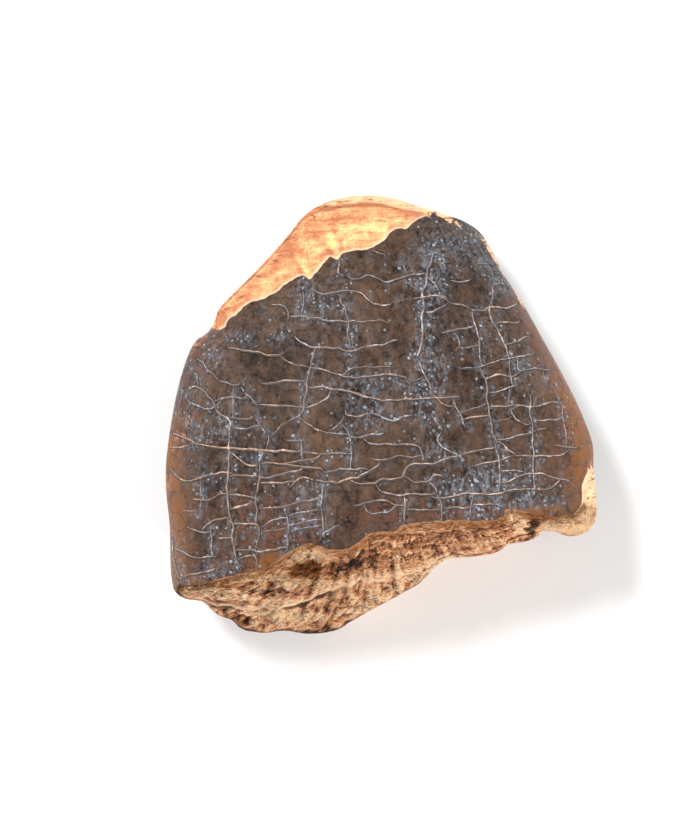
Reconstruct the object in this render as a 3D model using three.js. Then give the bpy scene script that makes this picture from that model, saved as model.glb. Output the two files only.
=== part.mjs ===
// The broken crown of a spoon-shaped dinosaur tooth, lying on its hollow inner face.
// Millimetres. +X runs across the crown, +Y towards its tip and +Z out of the bulging outer face.
//
// The solid is one skin of nested closed rings. From the middle of the outer face they run out over
// the enamel, down the enamel's broken edge, over the dentine to a ledge, down to the widest
// outline, down the side wall to its foot, and in again under the crown.

import * as THREE from "three";
import { ImprovedNoise } from "three/addons/math/ImprovedNoise.js";
import { mergeVertices } from "three/addons/utils/BufferGeometryUtils.js";

// Driving dimensions
const OUTER_TOP = 12.0; // highest point of the outer face above the surface that the tooth lies on
const CREST_Y = -6.0; // where along the crown that point is
const TIP_FALL = 0.02; // how fast the outer face falls away towards the tip, per mm squared
const ROOT_FALL = 0.008; // and towards the root
const SIDE_FALL = 0.019; // and towards each side
const OUTER_ROUND = 3.2; // width of the rounding along each side of the outer face
const INNER_ROUND = 2.0; // and of the inner face
const MARGIN_WALL = 0.5; // height left between the two roundings
const ENAMEL = 0.5; // thickness of the enamel, which stands up as a step where it is broken
const STEP_RUN = 0.1; // how far the enamel's broken edge leans outward
const THIN_BREAK = 0.15; // width of bared dentine where a break starts to show
const DEEP_BREAK = 1.0; // and where it has reached its full depth
const MARGIN_INSET = 0.9; // where the enamel ring runs on an unbroken side, in from the outline
const LEDGE_INSET = 0.5; // and the ledge ring
const LEAST_SHELF = 0.13; // least width of the shelf between the enamel and the ledge
const LEAST_ENAMEL_INSET = 0.35; // least distance from the outline to the enamel's broken edge
const LEAST_LEDGE_INSET = 0.22; // and to the ledge
const LEDGE_DROP = 0.9; // height of the step at the ledge along the broken root end
const LIP_DROP = 0.35; // and of the small step at the inner enamel of the worn facet
const LEDGE_RUN = 0.2; // how far these steps lean outward
const SHELF_BULGE = 0.7; // how far the dentine of the root break bulges under the enamel
const SHELF_ROUGH = 0.3; // relief of the shelf
const BREAK_ROUGH = 0.35; // and of the fracture below the ledge
const UNDERCUT = 0.7; // how far the foot of a broken wall stands in from the outline
const WALL_PITS = 0.7; // how deep the hollows in a broken wall are
const LEAST_WALL = 0.3; // least height of the side wall
const TALL_WALL = 4.0; // height of a wall that has its full undercut and hollows
const LAMINAE = 4; // layers that show as terraces on the root break
const LAMINA_RISE = 0.34; // height of each terrace's edge

// Ring counts
const AROUND = 158; // points on each ring outside the enamel's edge
const LEAST_AROUND = 6; // and on the innermost ones
const EDGE_CROWDING = 1.45; // how much closer the rings of the two faces lie towards their edge
const ENAMEL_RINGS = 12;
const SHELF_RINGS = 7;
const BREAK_RINGS = 3;
const WALL_RINGS = 5;
const INNER_RINGS = 11;

// The widest outline, counterclockwise from the right side, with its height in z
const OUTLINE = [
  [13.45, -1.9, 4.8], [12.95, -0.4, 4.7], [12.15, 1.4, 4.6], [10.2, 5.0, 4.4], [8.85, 7.4, 4.2],
  [7.85, 8.9, 4.0], [7.1, 10.45, 3.7], [6.3, 11.7, 3.3], [5.35, 12.3, 2.9], [4.0, 12.75, 2.3],
  [2.6, 13.3, 1.7], [0.9, 13.85, 1.3], [-1.2, 14.05, 1.2], [-2.8, 13.8, 1.3], [-4.05, 13.3, 1.5],
  [-4.95, 12.6, 1.8], [-5.8, 11.5, 2.3], [-7.45, 9.6, 3.0], [-9.4, 7.6, 3.7], [-10.2, 6.7, 4.1],
  [-10.55, 5.7, 4.5], [-11.05, 5.1, 4.7], [-11.6, 4.75, 4.7], [-12.1, 3.9, 4.6], [-12.8, 1.65, 4.6],
  [-13.35, -1.35, 4.6], [-13.54, -3.1, 4.7], [-13.54, -4.65, 4.8], [-13.3, -7.0, 4.9],
  [-13.2, -10.2, 5.0], [-12.95, -11.15, 5.0], [-12.4, -11.6, 4.9], [-11.2, -11.85, 4.6],
  [-10.35, -12.65, 3.8], [-9.4, -13.05, 3.2], [-8.8, -13.65, 2.6], [-7.45, -13.9, 2.2],
  [-6.1, -13.78, 2.0], [-4.55, -13.98, 1.8], [-2.8, -13.75, 2.0], [-1.8, -13.15, 2.4],
  [-0.5, -12.4, 2.9], [1.3, -11.4, 3.6], [2.65, -10.55, 4.4], [3.4, -9.7, 5.2], [4.2, -9.1, 5.9],
  [6.1, -8.9, 6.2], [7.45, -8.6, 6.2], [8.05, -8.15, 6.4], [9.2, -7.95, 6.3], [9.9, -7.65, 6.4],
  [10.2, -7.35, 6.5], [10.95, -7.35, 6.3], [11.95, -7.65, 5.9], [12.9, -7.45, 5.5],
  [13.58, -6.75, 5.2], [13.64, -4.85, 5.0], [13.5, -3.1, 4.9],
];

// The outline that the whole crown had before its tip was worn and its root end broken off
const UNBROKEN_OUTLINE = [
  [13.6, -1.9], [12.3, 1.4], [10.35, 5.0], [8.95, 7.4], [7.2, 10.5], [6.45, 11.8], [5.4, 13.0],
  [3.2, 14.7], [0.0, 15.6], [-4.5, 15.0], [-8.2, 12.2], [-10.4, 8.6], [-11.2, 5.1], [-12.9, 1.7],
  [-13.5, -1.3],
  [-13.7, -4.0], [-13.5, -7.0], [-13.35, -11.0], [-13.2, -15.0], [-8.0, -22.0], [0.0, -24.0],
  [8.0, -22.0], [13.0, -15.0], [13.8, -8.5], [13.85, -5.0],
];

// The edge of the outer enamel. It runs past the outline where the side is unbroken.
const ENAMEL_EDGE = [
  [15.0, -1.0], [12.5, 3.4], [9.4, 7.2], [8.0, 8.4], [7.35, 9.5], [7.0, 10.1], [6.4, 11.05],
  [6.0, 11.5], [5.1, 11.95], [4.15, 12.45], [3.65, 12.55], [2.65, 12.45], [2.1, 12.15],
  [1.6, 11.65], [1.35, 11.7], [0.7, 11.55], [0.3, 11.05], [-0.3, 10.6], [-1.1, 10.4],
  [-2.4, 10.1], [-2.65, 9.7], [-3.15, 9.9], [-3.75, 9.2], [-4.45, 8.45], [-4.75, 8.7],
  [-5.5, 8.45], [-5.95, 8.15], [-6.45, 7.7], [-7.15, 7.35], [-8.25, 7.0], [-8.85, 6.4],
  [-9.45, 6.0], [-9.75, 5.5], [-10.95, 5.0], [-12.6, 4.6], [-15.5, 0.0], [-15.0, -8.5],
  [-12.9, -10.8], [-12.45, -10.65], [-11.3, -10.5], [-10.15, -10.2], [-9.1, -9.9], [-7.45, -9.65],
  [-6.85, -9.3], [-5.7, -8.45], [-5.05, -8.1], [-4.45, -7.9], [-3.05, -8.25], [-2.05, -8.15],
  [-1.35, -7.8], [-0.6, -7.25], [0.85, -7.1], [1.4, -6.75], [3.45, -6.5], [5.9, -6.5],
  [7.55, -6.3], [7.7, -5.85], [9.0, -5.95], [10.2, -6.25], [11.1, -6.3], [12.15, -6.05],
  [12.5, -5.7], [12.65, -4.25], [13.05, -3.3], [13.9, -2.6],
];

// The ledge along the root break, and the lip of inner enamel along the worn facet
const LEDGE = [
  [15.0, -1.0, 5.0], [12.5, 5.0, 4.8], [8.4, 10.6, 4.2], [5.9, 12.2, 3.5], [3.9, 12.65, 2.9],
  [2.4, 12.95, 2.3], [0.7, 13.2, 1.9], [-1.2, 13.25, 1.8], [-2.7, 13.1, 1.9], [-4.0, 12.85, 2.1],
  [-5.0, 12.3, 2.4], [-5.9, 11.6, 2.7], [-8.3, 9.8, 3.8], [-12.5, 7.0, 4.8], [-15.5, 0.0, 5.0],
  [-15.0, -9.0, 5.2], [-12.8, -11.2, 5.5], [-11.2, -11.7, 5.7], [-10.4, -11.9, 5.8],
  [-9.1, -12.1, 5.7], [-7.7, -12.05, 5.7], [-6.1, -11.95, 5.9], [-4.75, -11.7, 6.1],
  [-3.35, -11.0, 6.6], [-2.0, -10.65, 6.8], [-0.6, -10.45, 6.8], [1.25, -10.05, 6.7],
  [2.95, -9.6, 6.7], [4.4, -8.8, 6.9], [6.1, -8.6, 6.8], [7.5, -8.3, 6.8], [8.2, -7.8, 7.0],
  [10.0, -7.2, 7.1], [12.0, -7.3, 6.6], [12.9, -6.9, 6.1], [13.3, -5.0, 5.7], [14.2, -2.8, 5.3],
];

// The inner face. The crown rests on the flats where it would reach below 0.
const INNER_ARCH = 2.8; // height of the arch along its middle, between the root and the tip
const ARCH_Y = 5.0; // where the arch is highest
const ARCH_WIDTH = 6.0;
const REST_DEPTH = 0.6; // how deep the bulge near the root would reach, which sets the flat's size
const INNER_SIDE_RISE = 0.017; // how the inner face rises towards each side near the root
const ROOT_RISE = 0.08; // and towards the root break
const ROOT_RISE_Y = -9.5;
const HOLLOW_DEPTH = 1.15; // depth of the long hollow on each side of the inner face's middle ridge
const HOLLOW_X = 4.7; // where the hollows run
const HOLLOW_WIDTH = 2.4;

// Hollows and lumps left by flakes, each [x, y, radius x, radius y, turn in degrees, height]
const FLAKES = [
  [-4.55, -9.55, 1.25, 0.62, 8, -0.75],
  [-4.5, -8.6, 1.5, 0.4, 6, 0.3],
  [-8.0, -11.0, 1.6, 0.35, -8, -0.3],
  [-6.6, -12.75, 2.1, 0.42, -6, 0.75],
  [8.6, -6.9, 0.75, 0.6, 20, 0.45],
  [9.5, -7.0, 0.5, 0.6, -20, -0.5],
  [-4.6, 10.9, 2.2, 0.8, 40, -0.3],
  [0.6, 12.4, 1.8, 0.5, 15, -0.25],
];

const noise = new ImprovedNoise();
const { clamp, smoothstep, lerp, degToRad } = THREE.MathUtils;

// How far a rounding has come up, from 0 at the edge to 1 where it is complete
function round(distance, width) {
  const t = 1 - clamp(distance / width, 0, 1);
  return Math.sqrt(1 - t * t);
}

// A closed curve through the points, as a function that gives its radius and height at an angle
function compass(points) {
  const curve = new THREE.CatmullRomCurve3(
    points.map(([x, y, z = 0]) => new THREE.Vector3(x, y, z)),
    true,
    "centripetal",
  );
  const samples = curve
    .getPoints(points.length * 16)
    .map((p) => ({ angle: Math.atan2(p.y, p.x), radius: Math.hypot(p.x, p.y), z: p.z }))
    .sort((a, b) => a.angle - b.angle);
  return (angle) => {
    const a = Math.atan2(Math.sin(angle), Math.cos(angle));
    let high = samples.findIndex((s) => s.angle > a);
    if (high < 0) high = 0;
    const after = samples[high];
    const before = samples.at(high - 1);
    const turn = 2 * Math.PI;
    const span = (after.angle - before.angle + turn) % turn || 1;
    const t = ((a - before.angle + turn) % turn) / span;
    return { radius: lerp(before.radius, after.radius, t), z: lerp(before.z, after.z, t) };
  };
}

const outline = compass(OUTLINE);
const unbroken = compass(UNBROKEN_OUTLINE);
const enamelEdge = compass(ENAMEL_EDGE);
const ledge = compass(LEDGE);

// The radius of the whole crown at an angle. It is the outline itself where the side is unbroken.
function wholeRadius(angle) {
  const { radius } = outline(angle);
  const beyond = unbroken(angle).radius - radius;
  return radius + beyond * smoothstep(beyond, 0.3, 0.9);
}

// The height of the inner face along the middle of the crown
function innerProfile(y) {
  const arch = INNER_ARCH * Math.exp(-(((y - ARCH_Y) / ARCH_WIDTH) ** 2));
  return arch - REST_DEPTH + ROOT_RISE * Math.max(0, ROOT_RISE_Y - y) ** 2;
}

// The outer face of the whole crown
function outerFace(x, y) {
  const angle = Math.atan2(y, x);
  const along = y - CREST_Y;
  const fall = (along > 0 ? TIP_FALL : ROOT_FALL) * along * along;
  const dome = OUTER_TOP - fall - SIDE_FALL * x * x + 0.12 * noise.noise(x / 4, y / 7, 3.3);
  const edge = outline(angle).z;
  const inside = wholeRadius(angle) - Math.hypot(x, y);
  return edge + (dome - edge) * round(inside, OUTER_ROUND);
}

// The inner face of the whole crown: a bulge near the root, and a spoon with a middle ridge above
function innerFace(x, y) {
  const angle = Math.atan2(y, x);
  const spoon = smoothstep(y, -4, 5);
  const fromHollow = (Math.abs(x) - HOLLOW_X) / HOLLOW_WIDTH;
  const hollow = HOLLOW_DEPTH * Math.exp(-fromHollow * fromHollow) * (1 - smoothstep(y, 9, 13));
  const across = lerp(INNER_SIDE_RISE * x * x, hollow - 0.002 * x * x, spoon);
  const face = innerProfile(y) + across + 0.15 * noise.noise(x / 3, y / 4, 8.1);
  const edge = outline(angle).z - MARGIN_WALL;
  const inside = wholeRadius(angle) - Math.hypot(x, y);
  return Math.max(0, edge + (face - edge) * round(inside, INNER_ROUND));
}

// What the flakes add to a broken surface
function flakes(x, y) {
  return FLAKES.reduce((sum, [cx, cy, rx, ry, turn, height]) => {
    const a = degToRad(turn);
    const u = ((x - cx) * Math.cos(a) + (y - cy) * Math.sin(a)) / rx;
    const v = ((y - cy) * Math.cos(a) - (x - cx) * Math.sin(a)) / ry;
    return sum + height * Math.exp(-(u * u + v * v));
  }, 0);
}

// Everything about the skin at one angle: the radius and height of each ring that it hangs between
function spoke(angle) {
  const rim = outline(angle);
  const shelfEnd = ledge(angle);
  const enamelEnd = enamelEdge(angle).radius;
  const isBroken = smoothstep(rim.radius - enamelEnd, THIN_BREAK, DEEP_BREAK);
  const inset = lerp(MARGIN_INSET, LEAST_ENAMEL_INSET, isBroken);
  const radius = Math.min(enamelEnd, rim.radius - inset);
  const at = (r) => [r * Math.cos(angle), r * Math.sin(angle)];
  const isRoot = isBroken * smoothstep(-Math.sin(angle), 0.3, 0.5);
  const ledgeInset = lerp(LEDGE_INSET, LEAST_LEDGE_INSET, isBroken);
  const ledgeRadius = Math.max(
    Math.min(shelfEnd.radius, rim.radius - ledgeInset),
    radius + LEAST_SHELF,
  );
  const wholeAtLedge = outerFace(...at(ledgeRadius));
  const rimZ = lerp(outerFace(...at(rim.radius)), rim.z, isBroken);
  return {
    angle,
    isBroken,
    isRoot,
    enamel: { radius, z: outerFace(...at(radius)) },
    ledge: { radius: ledgeRadius, z: lerp(wholeAtLedge, shelfEnd.z, isBroken) },
    rim: { radius: rim.radius, z: rimZ },
  };
}

// The terraces of the root break: 0 at both ends of the shelf, and stepped between them
function terraces(t, angle) {
  const wander = 0.5 * noise.noise(6 * Math.cos(angle), 6 * Math.sin(angle), 1.7);
  const phase = t * LAMINAE + wander;
  const step = phase - Math.floor(phase);
  return LAMINA_RISE * (step - 0.5) * Math.sin(Math.PI * t);
}

// A point of the skin outside the enamel's edge, from its radius and its height
function skinPoint(s, radius, z) {
  return new THREE.Vector3(radius * Math.cos(s.angle), radius * Math.sin(s.angle), z);
}

// Between the foot of the enamel's step and the ledge
function shelfPoint(s, t) {
  const start = { radius: s.enamel.radius + STEP_RUN, z: s.enamel.z - ENAMEL * s.isBroken };
  const radius = lerp(start.radius, s.ledge.radius, t);
  const x = radius * Math.cos(s.angle);
  const y = radius * Math.sin(s.angle);
  const whole = outerFace(x, y);
  const bulge = SHELF_BULGE * s.isRoot * Math.sin(Math.PI * t);
  const rough = SHELF_ROUGH * noise.noise(x * 0.9, y * 0.9, 5) * Math.sin(Math.PI * t);
  const broken =
    lerp(start.z, s.ledge.z, t) + bulge + rough + flakes(x, y) + s.isRoot * terraces(t, s.angle);
  return skinPoint(s, radius, lerp(whole, broken, s.isBroken));
}

// Between the foot of the ledge and the widest outline
function breakPoint(s, t) {
  const drop = lerp(LIP_DROP, LEDGE_DROP, s.isRoot) * s.isBroken;
  const room = s.rim.radius - s.ledge.radius;
  const radius = lerp(s.ledge.radius + Math.min(LEDGE_RUN, 0.4 * room), s.rim.radius, t);
  const x = radius * Math.cos(s.angle);
  const y = radius * Math.sin(s.angle);
  const startZ = Math.max(s.ledge.z - Math.min(drop, 0.6 * Math.abs(s.ledge.z - s.rim.z)), s.rim.z);
  const relief = BREAK_ROUGH * Math.sin(Math.PI * t) * clamp(room, 0, 1);
  const rough = relief * noise.noise(x * 1.3, y * 1.3, 9);
  const broken = lerp(startZ, s.rim.z, t) + rough + flakes(x, y) * (1 - t);
  return skinPoint(s, radius, lerp(outerFace(x, y), broken, s.isBroken));
}

// Down the side wall, from the widest outline at 0 to the foot at 1
function wallPoint(s, t) {
  const turn = [Math.cos(s.angle), Math.sin(s.angle)];
  const tall = s.isBroken * clamp(s.rim.z / TALL_WALL, 0, 1);
  const cut = UNDERCUT * tall * (0.8 + 0.6 * noise.noise(3 * turn[0], 3 * turn[1], 0.5));
  const beside = (outline(s.angle - 0.1).radius + outline(s.angle + 0.1).radius) / 2;
  const smooth = lerp(s.rim.radius, Math.min(s.rim.radius, beside), s.isBroken);
  const footRadius = smooth - Math.max(0.04, cut);
  const footZ = innerFace(footRadius * Math.cos(s.angle), footRadius * Math.sin(s.angle));
  const z = lerp(s.rim.z, Math.min(footZ, s.rim.z - LEAST_WALL), t);
  const grain = noise.noise(7 * turn[0], 7 * turn[1], z * 0.55);
  const pitted = WALL_PITS * tall * (0.45 + grain) * Math.sin(Math.PI * t);
  return skinPoint(s, lerp(s.rim.radius, footRadius, t * t) - Math.max(0, pitted), z);
}

// Points spaced evenly along the outline, as angles, for a share of the way round
function evenAngles() {
  const steps = 1440;
  const lengths = [0];
  const point = (i) => {
    const a = (2 * Math.PI * i) / steps;
    const { radius } = outline(a);
    return new THREE.Vector2(radius * Math.cos(a), radius * Math.sin(a));
  };
  for (let i = 1; i <= steps; i++) lengths.push(lengths[i - 1] + point(i).distanceTo(point(i - 1)));
  return (share) => {
    const wanted = share * lengths[steps];
    const i = Math.min(steps, Math.max(1, lengths.findIndex((l) => l >= wanted)));
    const t = (wanted - lengths[i - 1]) / (lengths[i] - lengths[i - 1]);
    return (2 * Math.PI * (i - 1 + t)) / steps;
  };
}

// Every ring of the skin, from the middle of the outer face to the middle of the inner face.
// Each is { shares, points }, with the share of the way round of each point.
function allRings() {
  const angleAt = evenAngles();
  const shares = (count) => Array.from({ length: count }, (_, i) => i / count);
  const around = shares(AROUND);
  const spokes = around.map((share) => spoke(angleAt(share)));
  const rings = [];
  const full = (point) => rings.push({ shares: around, points: spokes.map(point) });
  // A ring that lies on a face of the crown, at a share of the way out to its last ring
  const onFace = (out, count, reach, face) => {
    const own = shares(count);
    const points = own.map((share) => {
      const angle = angleAt(share);
      const radius = reach(spoke(angle)) * out;
      const x = radius * Math.cos(angle);
      const y = radius * Math.sin(angle);
      return new THREE.Vector3(x, y, face(x, y));
    });
    rings.push({ shares: own, points });
  };
  const countAt = (out) => Math.max(LEAST_AROUND, Math.round(AROUND * out));
  const outTo = (share) => 1 - (1 - share) ** EDGE_CROWDING;
  const toEdge = (s) => s.enamel.radius;
  const foot = (s) => Math.hypot(wallPoint(s, 1).x, wallPoint(s, 1).y);

  for (let i = 1; i < ENAMEL_RINGS; i++) {
    const out = outTo(i / ENAMEL_RINGS);
    onFace(out, countAt(out), toEdge, outerFace);
  }
  full((s) => skinPoint(s, s.enamel.radius, s.enamel.z));
  for (let i = 0; i <= SHELF_RINGS; i++) full((s) => shelfPoint(s, i / SHELF_RINGS));
  for (let i = 0; i <= BREAK_RINGS; i++) full((s) => breakPoint(s, i / BREAK_RINGS));
  for (let i = 1; i <= WALL_RINGS; i++) full((s) => wallPoint(s, i / WALL_RINGS));
  for (let i = INNER_RINGS - 1; i > 0; i--) {
    const out = outTo(i / INNER_RINGS);
    onFace(out, countAt(out), foot, innerFace);
  }
  return rings;
}

// Triangles between two neighbouring rings, whose points may differ in number
function stitch(index, a, b) {
  let i = 0;
  let j = 0;
  const next = (ring, k) => (k < ring.shares.length ? ring.shares[k] : 1);
  while (i < a.shares.length || j < b.shares.length) {
    const p = a.first + (i % a.shares.length);
    const q = b.first + (j % b.shares.length);
    if (j >= b.shares.length || (i < a.shares.length && next(a, i + 1) <= next(b, j + 1))) {
      index.push(p, q, a.first + ((i + 1) % a.shares.length));
      i++;
    } else {
      index.push(p, q, b.first + ((j + 1) % b.shares.length));
      j++;
    }
  }
}

function crownGeometry() {
  const rings = allRings();
  const positions = [];
  const index = [];
  const add = (p) => positions.push(p.x, p.y, p.z) / 3 - 1;
  const middleOuter = add(new THREE.Vector3(0, 0, outerFace(0, 0)));
  for (const ring of rings) {
    ring.first = positions.length / 3;
    ring.points.forEach(add);
  }
  const middleInner = add(new THREE.Vector3(0, 0, innerFace(0, 0)));
  const inmost = rings[0];
  const last = rings.at(-1);
  inmost.shares.forEach((_, i) => {
    index.push(middleOuter, inmost.first + i, inmost.first + ((i + 1) % inmost.shares.length));
  });
  for (let i = 1; i < rings.length; i++) stitch(index, rings[i - 1], rings[i]);
  last.shares.forEach((_, i) => {
    index.push(middleInner, last.first + ((i + 1) % last.shares.length), last.first + i);
  });

  const geometry = new THREE.BufferGeometry();
  geometry.setAttribute("position", new THREE.Float32BufferAttribute(positions, 3));
  geometry.setIndex(index);
  const merged = mergeVertices(geometry, 1e-4);
  merged.computeBoundingBox();
  const middle = merged.boundingBox.getCenter(new THREE.Vector3());
  merged.translate(-middle.x, -middle.y, 0);
  merged.computeVertexNormals();
  return merged;
}

const fossil = new THREE.MeshStandardMaterial({ color: 0x4b3a30, roughness: 0.42, metalness: 0 });

const crown = new THREE.Mesh(crownGeometry(), fossil);
crown.name = "tooth_crown";

const tooth = new THREE.Group();
tooth.add(crown);

export default tooth;
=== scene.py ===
import math

import bpy
import numpy as np
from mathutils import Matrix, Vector, bvhtree, kdtree


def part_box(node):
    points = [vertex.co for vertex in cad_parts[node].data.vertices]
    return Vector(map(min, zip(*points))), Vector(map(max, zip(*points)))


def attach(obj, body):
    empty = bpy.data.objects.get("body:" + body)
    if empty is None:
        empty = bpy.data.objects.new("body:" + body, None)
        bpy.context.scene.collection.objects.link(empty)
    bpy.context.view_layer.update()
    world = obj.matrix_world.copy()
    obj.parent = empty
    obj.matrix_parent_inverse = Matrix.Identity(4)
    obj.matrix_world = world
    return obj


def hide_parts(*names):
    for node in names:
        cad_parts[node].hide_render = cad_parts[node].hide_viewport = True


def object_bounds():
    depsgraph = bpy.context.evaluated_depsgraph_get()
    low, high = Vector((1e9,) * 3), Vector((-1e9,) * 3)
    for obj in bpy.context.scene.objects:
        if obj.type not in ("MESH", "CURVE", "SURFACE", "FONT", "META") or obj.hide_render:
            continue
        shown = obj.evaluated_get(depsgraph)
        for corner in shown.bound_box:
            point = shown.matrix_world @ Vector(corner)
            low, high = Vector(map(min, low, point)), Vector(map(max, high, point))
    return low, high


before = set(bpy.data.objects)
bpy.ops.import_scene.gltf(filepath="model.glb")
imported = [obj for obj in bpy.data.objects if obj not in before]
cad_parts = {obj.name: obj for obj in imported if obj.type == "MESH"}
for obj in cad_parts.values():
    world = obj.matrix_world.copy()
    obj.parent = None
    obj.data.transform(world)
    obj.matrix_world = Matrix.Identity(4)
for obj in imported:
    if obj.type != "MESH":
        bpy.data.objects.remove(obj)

# A broken fossil tooth crown. It lies on its hollow inner face, with the bulging enamel face up.
# Shapes are worked out in millimetres and turned into metres when their meshes are made.
# The first values and the functions of the crown's skin repeat those of the solid model.

bl_info = {
    "name": "Fossil Tooth Crown",
    "version": (1, 0, 0),
    "blender": (4, 5, 0),
    "location": "3D View > Sidebar > Tooth",
    "description": "Builds the surface, the crack ridges and the stage of a fossil tooth crown",
    "category": "Add Mesh",
}

CAD_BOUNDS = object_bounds()
NODE = "tooth_crown"
MM = 0.001

# The crown's main sizes, in mm
OUTER_TOP = 12.0  # highest point of the outer face above the surface that the tooth lies on
CREST_Y = -6.0  # where along the crown that point is
TIP_FALL = 0.02  # how fast the outer face falls away towards the tip, per mm squared
ROOT_FALL = 0.008  # and towards the root
SIDE_FALL = 0.019  # and towards each side
OUTER_ROUND = 3.2  # width of the rounding along each side of the outer face
INNER_ROUND = 2.0  # and of the inner face
MARGIN_WALL = 0.5  # height left between the two roundings
ENAMEL = 0.5  # thickness of the enamel, which stands up as a step where it is broken
STEP_RUN = 0.1  # how far the enamel's broken edge leans outward
THIN_BREAK = 0.15  # width of bared dentine where a break starts to show
DEEP_BREAK = 1.0  # and where it has reached its full depth
MARGIN_INSET = 0.9  # where the enamel ring runs on an unbroken side, in from the outline
LEDGE_INSET = 0.5  # and the ledge ring
LEAST_SHELF = 0.13  # least width of the shelf between the enamel and the ledge
LEAST_ENAMEL_INSET = 0.35  # least distance from the outline to the enamel's broken edge
LEAST_LEDGE_INSET = 0.22  # and to the ledge
LEDGE_DROP = 0.9  # height of the step at the ledge along the broken root end
LIP_DROP = 0.35  # and of the small step at the inner enamel of the worn facet
LEDGE_RUN = 0.2  # how far these steps lean outward
SHELF_BULGE = 0.7  # how far the dentine of the root break bulges under the enamel
SHELF_ROUGH = 0.3  # relief of the shelf
BREAK_ROUGH = 0.35  # and of the fracture below the ledge
UNDERCUT = 0.7  # how far the foot of a broken wall stands in from the outline
WALL_PITS = 0.7  # how deep the hollows in a broken wall are
LEAST_WALL = 0.3  # least height of the side wall
TALL_WALL = 4.0  # height of a wall that has its full undercut and hollows
LAMINAE = 4  # layers that show as terraces on the root break
LAMINA_RISE = 0.34  # height of each terrace's edge
# The widest outline, counterclockwise from the right side, with its height in z
OUTLINE = [
    (13.45, -1.9, 4.8), (12.95, -0.4, 4.7), (12.15, 1.4, 4.6), (10.2, 5.0, 4.4), (8.85, 7.4, 4.2),
    (7.85, 8.9, 4.0), (7.1, 10.45, 3.7), (6.3, 11.7, 3.3), (5.35, 12.3, 2.9), (4.0, 12.75, 2.3),
    (2.6, 13.3, 1.7), (0.9, 13.85, 1.3), (-1.2, 14.05, 1.2), (-2.8, 13.8, 1.3),
    (-4.05, 13.3, 1.5), (-4.95, 12.6, 1.8), (-5.8, 11.5, 2.3), (-7.45, 9.6, 3.0),
    (-9.4, 7.6, 3.7), (-10.2, 6.7, 4.1), (-10.55, 5.7, 4.5), (-11.05, 5.1, 4.7),
    (-11.6, 4.75, 4.7), (-12.1, 3.9, 4.6), (-12.8, 1.65, 4.6), (-13.35, -1.35, 4.6),
    (-13.54, -3.1, 4.7), (-13.54, -4.65, 4.8), (-13.3, -7.0, 4.9), (-13.2, -10.2, 5.0),
    (-12.95, -11.15, 5.0), (-12.4, -11.6, 4.9), (-11.2, -11.85, 4.6), (-10.35, -12.65, 3.8),
    (-9.4, -13.05, 3.2), (-8.8, -13.65, 2.6), (-7.45, -13.9, 2.2), (-6.1, -13.78, 2.0),
    (-4.55, -13.98, 1.8), (-2.8, -13.75, 2.0), (-1.8, -13.15, 2.4), (-0.5, -12.4, 2.9),
    (1.3, -11.4, 3.6), (2.65, -10.55, 4.4), (3.4, -9.7, 5.2), (4.2, -9.1, 5.9), (6.1, -8.9, 6.2),
    (7.45, -8.6, 6.2), (8.05, -8.15, 6.4), (9.2, -7.95, 6.3), (9.9, -7.65, 6.4),
    (10.2, -7.35, 6.5), (10.95, -7.35, 6.3), (11.95, -7.65, 5.9), (12.9, -7.45, 5.5),
    (13.58, -6.75, 5.2), (13.64, -4.85, 5.0), (13.5, -3.1, 4.9),
]

# The outline that the whole crown had before its tip was worn and its root end broken off
UNBROKEN_OUTLINE = [
    (13.6, -1.9), (12.3, 1.4), (10.35, 5.0), (8.95, 7.4), (7.2, 10.5), (6.45, 11.8), (5.4, 13.0),
    (3.2, 14.7), (0.0, 15.6), (-4.5, 15.0), (-8.2, 12.2), (-10.4, 8.6), (-11.2, 5.1),
    (-12.9, 1.7), (-13.5, -1.3), (-13.7, -4.0), (-13.5, -7.0), (-13.35, -11.0), (-13.2, -15.0),
    (-8.0, -22.0), (0.0, -24.0), (8.0, -22.0), (13.0, -15.0), (13.8, -8.5), (13.85, -5.0),
]

# The edge of the outer enamel. It runs past the outline where the side is unbroken.
ENAMEL_EDGE = [
    (15.0, -1.0), (12.5, 3.4), (9.4, 7.2), (8.0, 8.4), (7.35, 9.5), (7.0, 10.1), (6.4, 11.05),
    (6.0, 11.5), (5.1, 11.95), (4.15, 12.45), (3.65, 12.55), (2.65, 12.45), (2.1, 12.15),
    (1.6, 11.65), (1.35, 11.7), (0.7, 11.55), (0.3, 11.05), (-0.3, 10.6), (-1.1, 10.4),
    (-2.4, 10.1), (-2.65, 9.7), (-3.15, 9.9), (-3.75, 9.2), (-4.45, 8.45), (-4.75, 8.7),
    (-5.5, 8.45), (-5.95, 8.15), (-6.45, 7.7), (-7.15, 7.35), (-8.25, 7.0), (-8.85, 6.4),
    (-9.45, 6.0), (-9.75, 5.5), (-10.95, 5.0), (-12.6, 4.6), (-15.5, 0.0), (-15.0, -8.5),
    (-12.9, -10.8), (-12.45, -10.65), (-11.3, -10.5), (-10.15, -10.2), (-9.1, -9.9),
    (-7.45, -9.65), (-6.85, -9.3), (-5.7, -8.45), (-5.05, -8.1), (-4.45, -7.9), (-3.05, -8.25),
    (-2.05, -8.15), (-1.35, -7.8), (-0.6, -7.25), (0.85, -7.1), (1.4, -6.75), (3.45, -6.5),
    (5.9, -6.5), (7.55, -6.3), (7.7, -5.85), (9.0, -5.95), (10.2, -6.25), (11.1, -6.3),
    (12.15, -6.05), (12.5, -5.7), (12.65, -4.25), (13.05, -3.3), (13.9, -2.6),
]

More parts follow.
